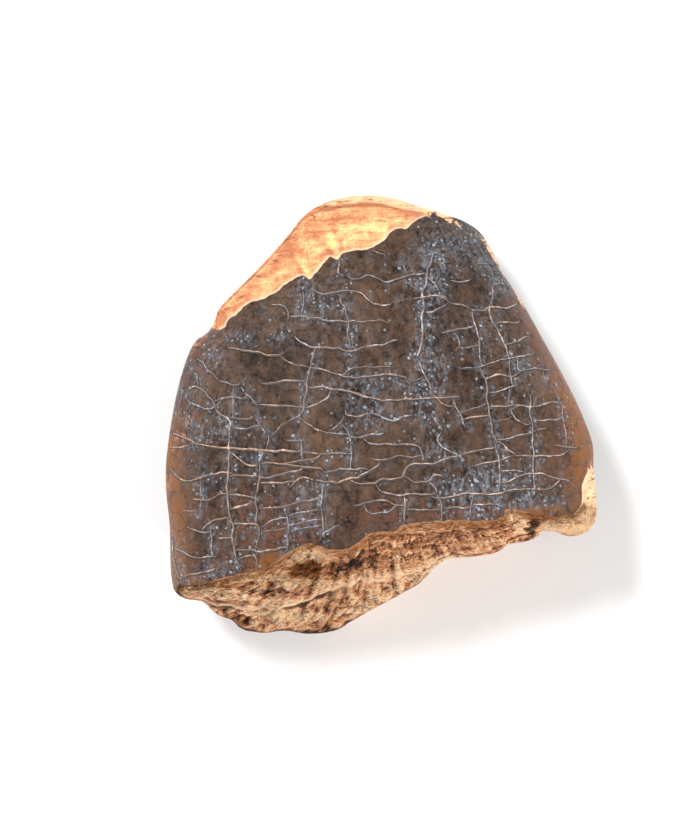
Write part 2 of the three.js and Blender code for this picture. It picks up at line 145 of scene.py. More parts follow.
# The ledge along the root break, and the lip of inner enamel along the worn facet
LEDGE = [
    (15.0, -1.0, 5.0), (12.5, 5.0, 4.8), (8.4, 10.6, 4.2), (5.9, 12.2, 3.5), (3.9, 12.65, 2.9),
    (2.4, 12.95, 2.3), (0.7, 13.2, 1.9), (-1.2, 13.25, 1.8), (-2.7, 13.1, 1.9),
    (-4.0, 12.85, 2.1), (-5.0, 12.3, 2.4), (-5.9, 11.6, 2.7), (-8.3, 9.8, 3.8), (-12.5, 7.0, 4.8),
    (-15.5, 0.0, 5.0), (-15.0, -9.0, 5.2), (-12.8, -11.2, 5.5), (-11.2, -11.7, 5.7),
    (-10.4, -11.9, 5.8), (-9.1, -12.1, 5.7), (-7.7, -12.05, 5.7), (-6.1, -11.95, 5.9),
    (-4.75, -11.7, 6.1), (-3.35, -11.0, 6.6), (-2.0, -10.65, 6.8), (-0.6, -10.45, 6.8),
    (1.25, -10.05, 6.7), (2.95, -9.6, 6.7), (4.4, -8.8, 6.9), (6.1, -8.6, 6.8), (7.5, -8.3, 6.8),
    (8.2, -7.8, 7.0), (10.0, -7.2, 7.1), (12.0, -7.3, 6.6), (12.9, -6.9, 6.1), (13.3, -5.0, 5.7),
    (14.2, -2.8, 5.3),
]

# The inner face. The crown rests on the flats where it would reach below 0.
INNER_ARCH = 2.8  # height of the arch along its middle, between the root and the tip
ARCH_Y = 5.0  # where the arch is highest
ARCH_WIDTH = 6.0
REST_DEPTH = 0.6  # how deep the bulge near the root would reach, which sets the flat's size
INNER_SIDE_RISE = 0.017  # how the inner face rises towards each side near the root
ROOT_RISE = 0.08  # and towards the root break
ROOT_RISE_Y = -9.5
HOLLOW_DEPTH = 1.15  # depth of the long hollow on each side of the inner face's middle ridge
HOLLOW_X = 4.7  # where the hollows run
HOLLOW_WIDTH = 2.4

# Hollows and lumps left by flakes, each (x, y, radius x, radius y, turn in degrees, height)
FLAKES = [
    (-4.55, -9.55, 1.25, 0.62, 8, -0.75), (-4.5, -8.6, 1.5, 0.4, 6, 0.3),
    (-8.0, -11.0, 1.6, 0.35, -8, -0.3), (-6.6, -12.75, 2.1, 0.42, -6, 0.75),
    (8.6, -6.9, 0.75, 0.6, 20, 0.45), (9.5, -7.0, 0.5, 0.6, -20, -0.5),
    (-4.6, 10.9, 2.2, 0.8, 40, -0.3), (0.6, 12.4, 1.8, 0.5, 15, -0.25),
]

# Smaller marks, for the surface alone
ENAMEL_CHIPS = [(-13.1, -3.75, 0.42, 0.5, 10, -0.35)]
BREAK_CHIPS = [
    (-4.7, -9.3, 0.9, 0.3, 10, -0.25), (-8.2, -12.0, 2.0, 0.22, -5, -0.35),
    (-1.9, -9.35, 1.0, 0.3, 25, -0.3), (8.0, -5.95, 0.5, 0.35, -35, 0.3),
    (11.8, -7.0, 1.4, 0.25, 8, 0.25), (-6.6, -10.35, 1.6, 0.2, -3, 0.28),
    (-9.8, -10.9, 1.2, 0.16, -4, 0.2),
]

# Where each kind of colouring is strong, each (x, y, radius x, radius y, turn in degrees, strength)
PATCHES = {
    "amber": [
        (-13.2, -7.6, 1.1, 3.8, 3, 1.3), (-13.3, -1.4, 0.8, 3.4, 4, 0.9), (12.3, 0.4, 1.0, 3.4, 22, 1.4),
        (13.0, -3.4, 1.0, 2.4, 0, 1.4), (9.8, 6.2, 0.7, 2.8, 30, 0.8), (10.6, -5.9, 1.8, 0.35, 5, 0.7),
        (-4.7, -9.7, 1.5, 0.8, 6, 1.4), (-7.4, -9.3, 1.4, 0.45, 25, 0.8),
        (-11.2, -10.4, 2.0, 0.35, -8, 0.5),
    ],
    "red": [
        (-11.4, 4.2, 2.0, 1.6, 30, 0.9), (-12.8, 1.2, 1.0, 2.6, 0, 0.9), (-8.0, -6.2, 2.6, 1.8, 0, 0.8),
        (-5.6, -7.6, 2.6, 0.9, 10, 0.9), (9.6, 5.4, 1.1, 2.6, 28, 0.9), (12.0, 1.0, 1.2, 3.0, 20, 0.7),
        (0.5, -6.2, 3.0, 0.8, 3, 0.7), (5.8, -6.0, 3.0, 0.5, 0, 0.9), (11.4, -2.4, 1.0, 2.0, 0, 0.7),
        (-9.6, -9.4, 3.0, 0.8, -5, 0.6),
    ],
    # Specks: where the pale grains lie, which also carry painted glints and painted blue sheen.
    "specks": [
        (-10.5, 3.7, 0.8, 0.9, 0, 0.8), (-11.3, -1.6, 1.1, 0.5, 20, 1.0), (-9.8, -0.8, 0.9, 0.6, 0, 0.8),
        (-10.4, -9.9, 1.2, 0.8, 10, 1.0), (-8.6, 4.9, 1.2, 0.6, 0, 0.6), (-4.8, 7.2, 0.5, 1.5, 0, 0.8),
        (-3.6, 6.6, 0.5, 1.2, 0, 0.9), (-6.1, 4.8, 0.6, 0.8, 0, 0.8), (3.3, 9.2, 1.1, 2.4, 0, 1.0),
        (5.9, 10.5, 1.8, 1.1, -25, 0.9), (7.3, 9.2, 0.5, 2.2, 30, 1.1), (2.8, 3.8, 0.55, 3.2, 0, 1.0),
        (3.6, 2.6, 0.45, 1.5, 0, 1.0), (-0.6, 1.8, 2.4, 0.8, 0, 0.7), (-0.5, 0.1, 1.2, 0.9, 0, 0.9),
        (2.3, 0.6, 0.6, 1.0, 0, 0.8), (6.4, -4.6, 2.3, 1.4, 0, 1.0), (5.3, -4.2, 0.8, 0.8, 0, 1.1),
        (9.0, -5.2, 2.0, 0.6, 0, 1.0), (-4.6, -4.7, 1.4, 0.7, 0, 0.7), (-4.6, -6.6, 1.2, 0.9, 0, 0.6),
        (8.9, 3.0, 0.6, 0.9, 0, 0.9), (-13.0, 1.2, 0.5, 1.5, 0, 0.7), (3.3, -2.2, 1.0, 0.6, 0, 0.6),
        (-1.9, 4.5, 0.4, 2.6, 0, 0.7), (-7.9, -2.6, 0.9, 0.8, 0, 0.5), (-11.0, -4.0, 1.0, 0.8, 0, 0.5),
    ],
    # Pale dentine, with painted highlights on the facet and on the ledges and lumps of the break.
    "pale_and_highlight": [
        (-6.9, -12.35, 2.0, 0.45, -8, 1.0), (-5.3, -9.05, 0.9, 0.25, 32, 0.7),
        (-3.9, -8.7, 0.9, 0.22, -10, 0.6), (-5.9, -10.25, 1.7, 0.22, -4, 0.8),
        (-0.3, -10.45, 2.6, 0.24, 10, 1.0), (3.4, -9.5, 1.6, 0.22, 28, 0.8),
        (8.1, -6.0, 0.7, 0.5, -30, 0.9), (13.0, -5.6, 0.6, 1.9, 0, 1.0), (11.2, -7.0, 2.0, 0.35, 8, 0.8),
        (-10.6, -11.2, 1.6, 0.25, -4, 0.5), (6.2, -8.0, 1.6, 0.3, 8, 0.3),
        (-0.8, -12.3, 3.4, 0.8, 20, 0.5), (-6.5, -12.7, 3.6, 0.8, -3, 0.35),
        (2.6, -10.6, 3.0, 0.7, 25, 0.4), (-1.2, 11.7, 2.0, 0.5, 22, 1.0), (0.7, 12.2, 1.6, 0.45, 22, 1.0),
        (-3.3, 11.2, 1.6, 0.6, 30, 0.7), (-5.4, 9.3, 1.6, 0.5, 34, 0.6), (-7.6, 8.2, 1.2, 0.3, 34, 0.4),
        (-3.9, 12.7, 1.2, 0.3, 25, 0.4),
    ],
    "rust": [
        (-11.7, 4.7, 1.3, 0.4, 42, 1.3), (-12.4, -1.4, 0.6, 0.28, -20, 1.2),
        (-12.0, -0.3, 0.3, 0.4, -30, 1.0), (-13.45, -4.4, 0.3, 0.6, 0, 1.2),
        (-13.2, -2.0, 0.5, 0.25, 0, 0.9), (12.2, 1.5, 0.5, 1.2, 25, 0.4),
        (-10.6, -9.7, 0.7, 0.3, 20, 0.5),
    ],
    "cream": [
        (-2.6, 13.75, 2.4, 0.3, 3, 1.0), (1.6, 13.5, 2.2, 0.35, -12, 1.0),
        (4.6, 12.2, 1.6, 0.3, -30, 1.0), (7.2, 10.0, 1.8, 0.3, -58, 0.8), (8.8, 7.4, 1.4, 0.25, -66, 0.6),
        (13.0, -5.2, 0.9, 2.2, 0, 1.7), (12.2, -7.2, 1.6, 0.5, 10, 1.2), (8.1, -6.1, 0.5, 0.4, -30, 0.8),
        (-6.9, -12.4, 1.9, 0.3, -8, 0.9), (0.6, -10.3, 2.4, 0.16, 10, 0.8),
        (-2.6, -11.2, 0.8, 0.3, 40, 0.6),
    ],
    # Dark: painted shade in the hollows of the flakes and chips and in the recesses of the break.
    "dark": [
        (-4.6, -9.75, 1.1, 0.5, 4, 0.4), (-8.2, -11.95, 2.4, 0.22, -5, 1.0),
        (-1.9, -9.3, 1.1, 0.4, 25, 0.8), (9.5, -6.9, 0.45, 0.6, -10, 0.9),
        (-9.3, -12.9, 1.0, 0.35, -30, 0.8), (-3.2, -13.3, 1.6, 0.4, 12, 0.7),
        (2.2, -10.9, 2.4, 0.22, 25, 0.7), (-2.9, -11.9, 0.9, 0.5, 40, 0.6),
        (-13.0, -3.75, 0.4, 0.45, 0, 1.2), (-3.6, 13.7, 1.0, 0.2, 15, 0.7),
        (4.7, -8.5, 1.6, 0.2, 12, 0.5), (-5.6, -11.1, 2.0, 0.2, -4, 0.5), (5.4, -7.5, 4.2, 0.7, 8, 0.42),
        (-0.6, -9.0, 3.2, 0.7, 14, 0.32),
    ],
}

# The cracks of the enamel, which a pale mineral fills. They were traced in enlarged crops of
# the picture. Each crop stands with its corner in the picture, and each crack with its strength, its
# tone, which is 0 for pink or tan and 1 for blue-white, and its points, in pixels of the crop.
CROP_ENLARGED = 1568 / 170  # how many times larger than the picture the crops are
TRACED_CRACKS = [
    ((160, 330), [
        (1.3, 0.1, 620, 165, 730, 185, 830, 195, 930, 215, 1020, 250, 1110, 235, 1160, 215),
        (0.7, 0.1, 1110, 240, 1160, 300, 1260, 320, 1370, 350),
        (1.4, 0.95, 340, 250, 400, 300, 460, 370, 520, 430),
        (1.3, 0.15, 290, 530, 340, 515, 420, 565, 480, 625, 520, 690, 520, 720),
        (1, 0.8, 330, 690, 400, 720, 440, 735, 520, 720),
        (1, 0.7, 520, 660, 580, 630, 680, 620, 780, 630),
        (1, 0.8, 800, 590, 840, 610, 920, 690),
        (1.2, 0.5, 520, 720, 570, 770, 660, 815, 680, 860, 660, 930, 655, 1000),
        (0.8, 0.7, 680, 800, 760, 815, 850, 820, 890, 800),
        (0.7, 0.8, 560, 470, 640, 495, 680, 505, 760, 515),
        (0.9, 0.5, 1050, 690, 1140, 695, 1220, 695, 1330, 715),
        (1, 0.8, 1400, 290, 1370, 430, 1365, 500, 1350, 600, 1330, 740),
        (0.8, 0.6, 1380, 715, 1450, 690, 1510, 655, 1568, 610),
        (0.8, 0.6, 930, 480, 990, 500, 1060, 495, 1140, 470, 1250, 470, 1310, 480),
        (0.5, 0.5, 1110, 890, 1200, 835, 1290, 800),
        (0.8, 0.8, 700, 910, 780, 905, 880, 880, 920, 880),
        (0.7, 0.3, 930, 870, 970, 930, 1030, 985, 1010, 1040, 990, 1080),
        (1.6, 0.05, 100, 945, 180, 960, 270, 1000, 370, 1050, 500, 1075, 650, 1080, 800, 1090, 980,
         1105, 1150, 1105, 1310, 1110),
        (1, 0.1, 90, 1080, 160, 1080, 230, 1075, 300, 1060),
        (1.5, 0.1, 655, 1000, 655, 1080, 660, 1150, 650, 1230, 650, 1300, 640, 1400, 645, 1500),
        (1.4, 0.05, 660, 1120, 700, 1150, 760, 1195, 830, 1235, 930, 1250),
        (1.1, 0.6, 955, 1120, 940, 1200, 935, 1300),
        (1.5, 0.05, 935, 1300, 930, 1380, 910, 1480),
        (1.4, 0.05, 950, 1225, 1050, 1215, 1150, 1220, 1280, 1245, 1400, 1255, 1500, 1265),
        (1.1, 0.1, 1150, 1220, 1280, 1200, 1380, 1190, 1440, 1185),
        (1.3, 0.1, 110, 1260, 150, 1320, 210, 1370, 280, 1390, 370, 1360, 450, 1330, 560, 1305, 650,
         1295),
        (1.1, 0.3, 660, 1330, 760, 1325, 850, 1335, 930, 1340),
        (1, 0.5, 960, 1355, 1060, 1345, 1150, 1305, 1280, 1290),
        (1.2, 0.15, 1200, 1440, 1260, 1390, 1310, 1335, 1400, 1355, 1490, 1380, 1568, 1380, 1620, 1395),
        (0.9, 0.1, 960, 1395, 1060, 1395, 1150, 1390, 1210, 1375),
        (1.2, 0.8, 1320, 1050, 1320, 1140),
        (0.7, 0.8, 250, 320, 300, 370, 350, 420),
        (0.9, 0.7, 180, 540, 240, 570, 260, 650),
        (1.4, 0.1, 240, 800, 280, 850, 320, 890),
        (0.5, 0.6, 690, 600, 690, 740),
        (0.6, 0.6, 1160, 1010, 1240, 1015, 1330, 1005),
        (0.8, 0.4, 1350, 870, 1400, 880, 1480, 930, 1568, 945),
    ]),
    ((160, 470), [
        (0.9, 0.2, 310, 250, 380, 255, 450, 275, 540, 225, 640, 195),
        (1.3, 0.3, 650, 60, 635, 150, 650, 280, 660, 400, 690, 480, 690, 560, 690, 640, 700, 720),
        (1.2, 0.5, 660, 210, 740, 210, 820, 225, 900, 240),
        (1.3, 0.2, 670, 345, 760, 320, 830, 290, 890, 275),
        (1.2, 0.3, 415, 540, 440, 500, 500, 455, 580, 430, 660, 410),
        (1.2, 0.9, 250, 500, 330, 535, 415, 560),
        (0.8, 0.4, 690, 475, 760, 480, 830, 475, 900, 470, 930, 500, 935, 560, 920, 640, 900, 700),
        (0.9, 0.4, 905, 200, 895, 270, 915, 330, 905, 400),
        (0.9, 0.2, 920, 340, 1000, 325, 1100, 325, 1150, 320, 1230, 290, 1330, 265, 1420, 255, 1500, 240),
        (0.7, 0.7, 945, 505, 1020, 460, 1110, 420),
        (0.5, 0.4, 950, 545, 1050, 535, 1180, 510),
        (1.3, 0.2, 720, 720, 800, 710, 880, 705, 920, 725, 1000, 715, 1100, 695, 1180, 680, 1200, 730),
        (0.9, 0.4, 760, 790, 820, 765, 890, 755, 905, 800, 920, 870),
        (0.8, 0.6, 500, 570, 540, 610, 620, 605, 690, 600),
        (1, 0.6, 490, 490, 500, 570, 490, 660, 500, 740),
        (1.2, 0.3, 130, 705, 200, 730, 290, 775, 380, 790, 460, 775, 540, 770),
        (0.9, 0.3, 190, 980, 280, 950, 380, 930, 470, 900, 530, 880),
        (1.1, 0.1, 115, 620, 130, 800, 160, 900, 200, 1000),
        (0.7, 0.8, 1200, 490, 1270, 480, 1350, 450, 1480, 430),
        (0.7, 0.8, 1210, 545, 1300, 515, 1400, 500, 1500, 490),
        (0.7, 0.8, 1290, 375, 1380, 355, 1480, 340),
        (0.5, 0.6, 1190, 400, 1200, 500, 1190, 600, 1180, 690),
        (0.9, 0.8, 1500, 100, 1500, 240, 1490, 330, 1500, 430, 1510, 500, 1520, 600),
        (0.5, 0.2, 210, 370, 300, 360, 370, 365),
        (0.5, 0.5, 400, 110, 400, 220, 410, 300),
        (1.2, 0.1, 720, 790, 750, 850, 765, 900),
    ]),
    ((280, 230), [
        (1.2, 0.5, 270, 540, 320, 580, 400, 605, 500, 590, 580, 565, 650, 570, 740, 590, 800, 655, 880,
         700, 980, 715, 1030, 690),
        (1.2, 0.4, 545, 250, 545, 330, 530, 400, 600, 440),
        (0.9, 0.8, 600, 440, 680, 465, 750, 450, 820, 425, 880, 440, 930, 480),
        (1.4, 0.8, 940, 490, 1010, 490, 1120, 450, 1220, 430, 1330, 400),
        (1.6, 0.85, 1410, 200, 1390, 320, 1350, 360, 1350, 450, 1340, 510, 1310, 560, 1300, 620, 1320,
         720, 1300, 800, 1300, 900, 1310, 1000, 1290, 1060, 1270, 1150),
        (1.2, 0.8, 1340, 440, 1400, 480, 1470, 580),
        (1, 0.8, 1350, 190, 1420, 210, 1500, 250),
        (0.6, 0.7, 1200, 490, 1230, 540, 1290, 580),
        (0.9, 0.4, 1180, 650, 1250, 645, 1340, 620, 1420, 610, 1500, 620),
        (0.5, 0.5, 1030, 690, 1100, 670, 1180, 650),
        (1.2, 0.7, 60, 795, 140, 805, 240, 815, 350, 820, 420, 850, 520, 850, 600, 855, 680, 845),
        (0.6, 0.5, 700, 860, 760, 860, 850, 840, 940, 850, 1010, 880),
        (0.9, 0.3, 545, 580, 560, 690, 610, 740, 625, 860, 620, 960, 640, 1030),
        (1.1, 0.5, 540, 1095, 600, 1125, 680, 1125, 760, 1095, 850, 1075, 950, 1065, 1030, 1025, 1080,
         1025),
        (1.4, 0.2, 330, 1090, 420, 1100),
        (1.3, 0.9, 130, 990, 210, 1060),
        (0.9, 0.6, -80, 690, 0, 700, 45, 700, 80, 740, 80, 850),
        (1.2, 0.7, 210, 560, 230, 680, 200, 770),
        (1.4, 0.1, 260, 1270, 350, 1285, 440, 1300, 510, 1325, 570, 1350, 600, 1370),
        (1.1, 0.5, 600, 1360, 700, 1370, 800, 1355, 900, 1340, 980, 1335, 1070, 1350),
        (0.8, 0.5, 1110, 1360, 1180, 1380, 1230, 1400, 1320, 1350),
        (0.5, 0.6, 650, 1280, 760, 1270, 900, 1270, 1060, 1265),
        (1, 0.4, 260, 1450, 370, 1450, 470, 1470, 560, 1475, 640, 1490, 720, 1510, 800, 1540),
        (1.1, 0.6, 1250, 1190, 1300, 1270, 1320, 1350, 1360, 1400),
        (1.1, 0.4, 830, 190, 900, 230, 970, 230),
        (0.9, 0.8, 1370, 780, 1450, 740, 1520, 710),
        (0.8, 0.8, 1120, 290, 1160, 390),
    ]),
    ((430, 220), [
        (0.8, 0.6, 0, 715, 80, 715, 130, 740, 170, 780, 240, 785, 310, 795, 370, 845, 420, 840, 520, 840),
        (0.9, 0.6, 370, 850, 385, 930, 415, 1020, 440, 1110, 430, 1180, 445, 1300),
        (1.3, 0.2, 540, 800, 525, 850, 550, 930, 600, 1000, 640, 1100, 680, 1160),
        (1.3, 0.2, 540, 805, 600, 805, 670, 825, 740, 800, 800, 780),
        (1, 0.3, 570, 960, 640, 950, 700, 955, 780, 955, 830, 935),
        (0.9, 0.7, 560, 770, 570, 680, 570, 600),
        (1.2, 0.6, 600, 590, 660, 585, 710, 630),
        (1.2, 0.4, 90, 1050, 170, 1035, 210, 1025, 280, 1015, 370, 1000),
        (0.8, 0.6, 220, 1060, 250, 1110),
        (0.9, 0.8, 0, 870, 60, 830, 110, 800),
        (1.2, 0.7, 180, 570, 240, 580, 330, 575, 370, 560),
        (0.8, 0.7, 420, 410, 480, 410, 540, 400),
        (0.5, 0.6, 80, 410, 140, 400, 200, 400),
        (0.9, 0.4, 690, 1150, 760, 1140, 830, 1100, 910, 1080),
        (0.5, 0.6, 230, 1190, 330, 1180, 420, 1160),
        (0.8, 0.7, 410, 1370, 480, 1340, 580, 1310, 660, 1290),
        (0.9, 0.5, 700, 1290, 760, 1275, 830, 1255, 920, 1250, 960, 1210),
        (0.9, 0.7, 720, 1290, 710, 1380, 720, 1420, 740, 1520),
        (1, 0.7, 790, 1320, 790, 1400, 850, 1390, 940, 1370, 1030, 1380, 1100, 1385),
        (1.2, 0.3, 540, 1450, 600, 1430, 680, 1440, 750, 1445),
        (0.9, 0.6, 440, 1370, 480, 1460, 510, 1530, 500, 1568),
        (0.5, 0.7, 230, 1365, 320, 1375, 410, 1370),
        (1, 0.2, 1030, 1430, 1060, 1520),
    ]),
    ((430, 380), [
        (1.2, 0.5, 490, -20, 510, 60, 495, 150, 510, 250, 530, 340, 540, 440, 570, 540, 600, 570),
        (1.3, 0.3, 600, 560, 650, 590, 700, 640, 750, 670),
        (1.2, 0.3, 520, 250, 600, 245, 700, 240),
        (1.3, 0.5, 700, 245, 730, 310, 780, 370, 840, 405, 900, 400),
        (0.9, 0.8, 710, 80, 705, 200, 700, 240),
        (1.3, 0.3, 900, 120, 900, 230, 895, 320, 915, 400, 910, 480, 915, 580, 930, 680, 920, 780, 925,
         870, 930, 960, 930, 1050),
        (1.1, 0.5, 800, 230, 880, 240, 910, 250, 980, 240, 1070, 205, 1180, 210),
        (1.4, 0.15, 270, 370, 340, 355, 420, 340, 520, 320),
        (0.9, 0.6, 270, 370, 300, 430),
        (1.3, 0.2, 220, 250, 260, 310, 280, 340),
        (1.2, 0.3, 0, 140, 40, 170, 90, 210, 150, 250, 220, 260),
        (1.1, 0.7, -10, 310, 40, 380, 90, 450),
        (1.3, 0.6, 90, 480, 40, 530, 60, 570, 120, 630, 180, 660, 240, 690),
        (1.1, 0.4, 240, 690, 320, 665, 400, 650, 480, 630, 560, 615),
        (0.9, 0.6, 0, 760, 80, 735, 170, 700, 240, 695),
        (0.7, 0.6, 80, 170, 170, 155, 260, 155),
        (0.5, 0.6, 290, 290, 380, 260, 470, 230),
        (0.8, 0.7, 570, 120, 640, 100, 700, 80, 790, 40),
        (0.5, 0.5, 560, 380, 640, 365, 700, 360),
        (0.9, 0.5, 740, 520, 800, 500, 890, 490, 960, 460, 1060, 450),
        (1.2, 0.8, 570, 545, 640, 545),
        (0.9, 0.4, 350, 780, 430, 770, 520, 745, 600, 730, 680, 710, 740, 690),
        (1.1, 0.4, 740, 690, 820, 690, 920, 690, 1000, 690, 1080, 700, 1160, 690, 1230, 665),
        (1.1, 0.2, 1110, 600, 1180, 605, 1240, 620, 1350, 620),
        (0.8, 0.6, 920, 370, 1020, 370, 1080, 370),
        (0.7, 0.2, 1190, 210, 1200, 310, 1215, 400, 1230, 500, 1240, 600),
        (1.1, 0.4, 560, 930, 640, 930, 720, 915, 780, 880, 850, 855, 920, 850, 990, 850, 1080, 880,
         1150, 900),
        (0.9, 0.8, 640, 830, 740, 820, 830, 830),
        (1, 0.7, 570, 600, 600, 680, 610, 800, 620, 900, 600, 980),
        (1, 0.3, 60, 1080, 150, 1060, 240, 1040, 320, 1020),
        (1.4, 0.2, 370, 1030, 450, 1035, 530, 1040, 620, 1030, 690, 1000),
        (0.9, 0.3, 770, 990, 850, 990, 920, 1000, 1000, 1000, 1090, 990),
        (1.3, 0.1, 400, 1130, 480, 1130, 560, 1130, 640, 1150),
        (0.9, 0.7, 150, 1160, 250, 1155, 350, 1160),
        (0.8, 0.6, 70, 1060, 90, 1150, 90, 1240),
        (0.7, 0.7, 350, 1130, 340, 1240),
        (0.5, 0.5, 1120, 900, 1200, 900, 1280, 940),
    ]),
    ((280, 390), [
        (0.6, 0.6, 190, 560, 330, 575, 440, 575, 560, 570, 640, 580),
        (1, 0.5, 390, 715, 400, 750, 480, 740, 550, 715, 620, 715, 700, 720, 800, 710),
        (1.2, 0.25, 545, 845, 600, 810, 650, 795, 700, 800),
        (1.2, 0.25, 350, 820, 420, 830, 500, 820, 545, 845),
        (1.1, 0.4, 600, 180, 605, 230, 680, 240, 760, 235, 830, 215),
        (1.2, 0.8, 840, 210, 920, 230, 960, 270, 1030, 290, 1100, 260, 1160, 240, 1230, 225),
        (1.3, 0.8, 670, 440, 740, 440, 790, 410, 850, 400, 900, 410, 960, 395),
        (1.1, 0.5, 820, 490, 900, 495, 1020, 490, 1140, 495, 1230, 490, 1280, 530, 1300, 600),
        (0.8, 0.7, 820, 620, 920, 640, 1000, 620, 1070, 600, 1140, 605, 1220, 605),
        (0.9, 0.6, 1160, 690, 1230, 660, 1320, 670, 1400, 665, 1480, 640, 1568, 620),
        (0.8, 0.7, 720, 780, 820, 730, 900, 680),
        (1.1, 0.4, 720, 855, 800, 850, 870, 845, 920, 810, 1000, 800, 1060, 795, 1120, 790, 1130, 770),
        (1.1, 0.4, 1130, 770, 1170, 800, 1220, 835, 1290, 830, 1350, 830, 1390, 780, 1430, 765, 1500,
         790),
        (1.2, 0.4, 880, 860, 920, 920, 980, 935, 1050, 945, 1130, 945, 1200, 935, 1280, 940, 1360, 945),
        (0.9, 0.6, 660, 1045, 740, 1035, 800, 1015, 870, 1005, 920, 995),
        (1.1, 0.3, 970, 1000, 1050, 1035, 1140, 1050),
        (1.1, 0.3, 1140, 1050, 1130, 1120, 1140, 1200),
        (0.8, 0.4, 1180, 1080, 1300, 1080, 1450, 1080),
        (0.8, 0.8, 790, 1095, 850, 1130, 910, 1105, 1000, 1100),
        (1.1, 0.8, 400, 1330, 400, 1280, 480, 1255, 560, 1215),
        (0.9, 0.8, 640, 380, 655, 470, 655, 560, 650, 680),
        (0.5, 0.7, 460, 370, 530, 320, 560, 290),
        (0.5, 0.7, 430, 390, 540, 400, 640, 395),
        (1.1, 0.3, 940, 100, 1060, 100, 1150, 85, 1260, 90, 1420, 75, 1568, 70),
        (0.9, 0.2, 620, 20, 700, 40, 780, 70, 840, 75),
        (0.9, 0.5, 1430, 920, 1470, 1000, 1470, 1150),
        (0.8, 0.4, 1450, 990, 1568, 970),
    ]),
]
CRACK_WANDER = 0.09  # how far a crack strays to and fro between its points
CRACK_REACH = 0.9  # how far off the next crack may be for an end to run on to it
GROOVE_STEP = 0.05  # spacing of the points that the grooves are measured from
GROOVE_WIDTH = 0.11
GROOVE_DEPTH = 0.05  # how far the enamel beside a crack sinks
PLATE_DOME = 0.06  # how far each plate of enamel bulges between its cracks
PLATE_ROUND = 0.3  # width of the fall at a plate's edge
CHAIN_WIDTH = 0.42  # how far the mineral grains lie from an upright crack
GROOVE_SHIFT = 0.045  # how far the groove lies to the lower right of its ridge
RIDGE_STEP = 0.14
RIDGE_SECTION = [(-1, 0, 0), (-0.45, 1, 0), (0.45, 1, 0), (1, 0, 0), (0, 0, 0.15)]
# The dark bar beside each ridge: painted shadow, which also stands for the crack's opening.
GAP_SHADOW_SECTION = [(-1, 0, 0.02), (0, 1, 0), (1, 0, 0.02)]
GAP_SHADOW_WIDTH = 0.17
GAP_SHADOW_RISE = 0.02
GAP_SHADOW_SHIFT = 0.075  # how far the dark bar of painted shadow lies to the lower right of its ridge
LEAST_SLOPE = 0.25  # ridges stop where the surface is steeper than this, as the height of its normal
RIDGE_TAPER = 0.5  # length over which a ridge's end thins out

# The stage, in metres, and the picture's frame
FLOOR = 1.5  # half the floor's width
FLOOR_WHITE = 0.88
KEY_LIGHT = ((-0.26, 0.28, 0.42), 0.2, 3.9)  # its place, its size and its power in watts
FILL_LIGHT = ((0.32, -0.26, 0.26), 0.35, 2.7)
WORLD_STRENGTH = 0.3
NEAREST_SEEN = 0.01  # how near and how far the camera sees
FARTHEST_SEEN = 10.0
SENSOR = 36.0
PICTURE_WIDTH = 700
PICTURE_HEIGHT = 830
PICTURE_SCALE = 15.8  # pixels of the picture in a mm of the tooth
PICTURE_ORIGIN_X = 380.0  # where the picture shows the middle of the crown's own frame
PICTURE_ORIGIN_Y = 415.0
OUTLINE_HEIGHT = 4.6  # mm above the floor, where the outline is widest

# Finishes
MARK_FADE = 1.7  # mm below the widest outline within which the colour patches fade out
BREAK_CONTRAST = 1.6  # how much stronger the break's light and dark layers are than its noise
FACET_TURN = math.radians(31)  # which way the streaks of the worn facet run
LAYER_TURN = -0.16  # which way the layers of the broken dentine run, in radians
CREVICE_TURN = -0.24  # and the crevices between them
SHINE = 0.13  # how strongly the fossil mirrors the light
FOSSIL_BUMP = 0.07  # depth of the bumps that are finer than the mesh, in mm
FILLING_BUMP = 0.03  # and of those on the crack ridges

# Ring counts of the visible surface
EDGE_POINTS = 2000  # points that the enamel's edge is measured from
AROUND = 600  # points on each ring outside the enamel's edge
LEAST_AROUND = 8  # and on the innermost ones
EDGE_CROWDING = 1.2  # how much closer the rings of the two faces lie towards their edge
ENAMEL_RINGS = 88
SHELF_RINGS = 31
BREAK_RINGS = 14
WALL_RINGS = 17
INNER_RINGS = 26
INNER_SHARE = 0.55  # the inner face has this share of the points of the outer one

# Columns of the skin's points, which are x, y, z, relief, bare, root and outer. Relief is how far a
# point stands out, which the material turns into painted shade in the hollows and painted light on
# the crests. Bare is 1 where the enamel is gone, root is 1 at the root break, and outer is 1 on the
# outer face and 0 on the inner one.
RELIEF = 3
BARE = 4
OUTER = 6
WALL_OUTER = 0.5  # what outer is on a wall

SHUFFLE = np.tile(np.random.default_rng(11).permutation(256), 2)
GRADIENTS = np.array([
    (1, 1, 0), (-1, 1, 0), (1, -1, 0), (-1, -1, 0), (1, 0, 1), (-1, 0, 1),
    (1, 0, -1), (-1, 0, -1), (0, 1, 1), (0, -1, 1), (0, 1, -1), (0, -1, -1),
], float)


def noise(x, y, z=0.0):
    """Smooth random values between about -1 and 1, one for each point."""
    place = np.stack(np.broadcast_arrays(x, y, z), -1).astype(float)
    cell = np.floor(place).astype(int)
    part = place - cell
    ease = part**3 * (part * (part * 6 - 15) + 10)
    total = 0.0
    for corner in np.ndindex(2, 2, 2):
        at = (cell + corner) & 255
        pick = SHUFFLE[SHUFFLE[SHUFFLE[at[..., 0]] + at[..., 1]] + at[..., 2]] % 12
        share = np.where(corner, ease, 1 - ease).prod(-1)
        total = total + share * (GRADIENTS[pick] * (part - corner)).sum(-1)
    return total


def layered_noise(x, y, z, octaves):
    """Noise with finer and weaker noise added, for surfaces that are rough at every scale."""
    return sum(noise(x * 2**i, y * 2**i, z + 7.3 * i) * 0.55**i for i in range(octaves))


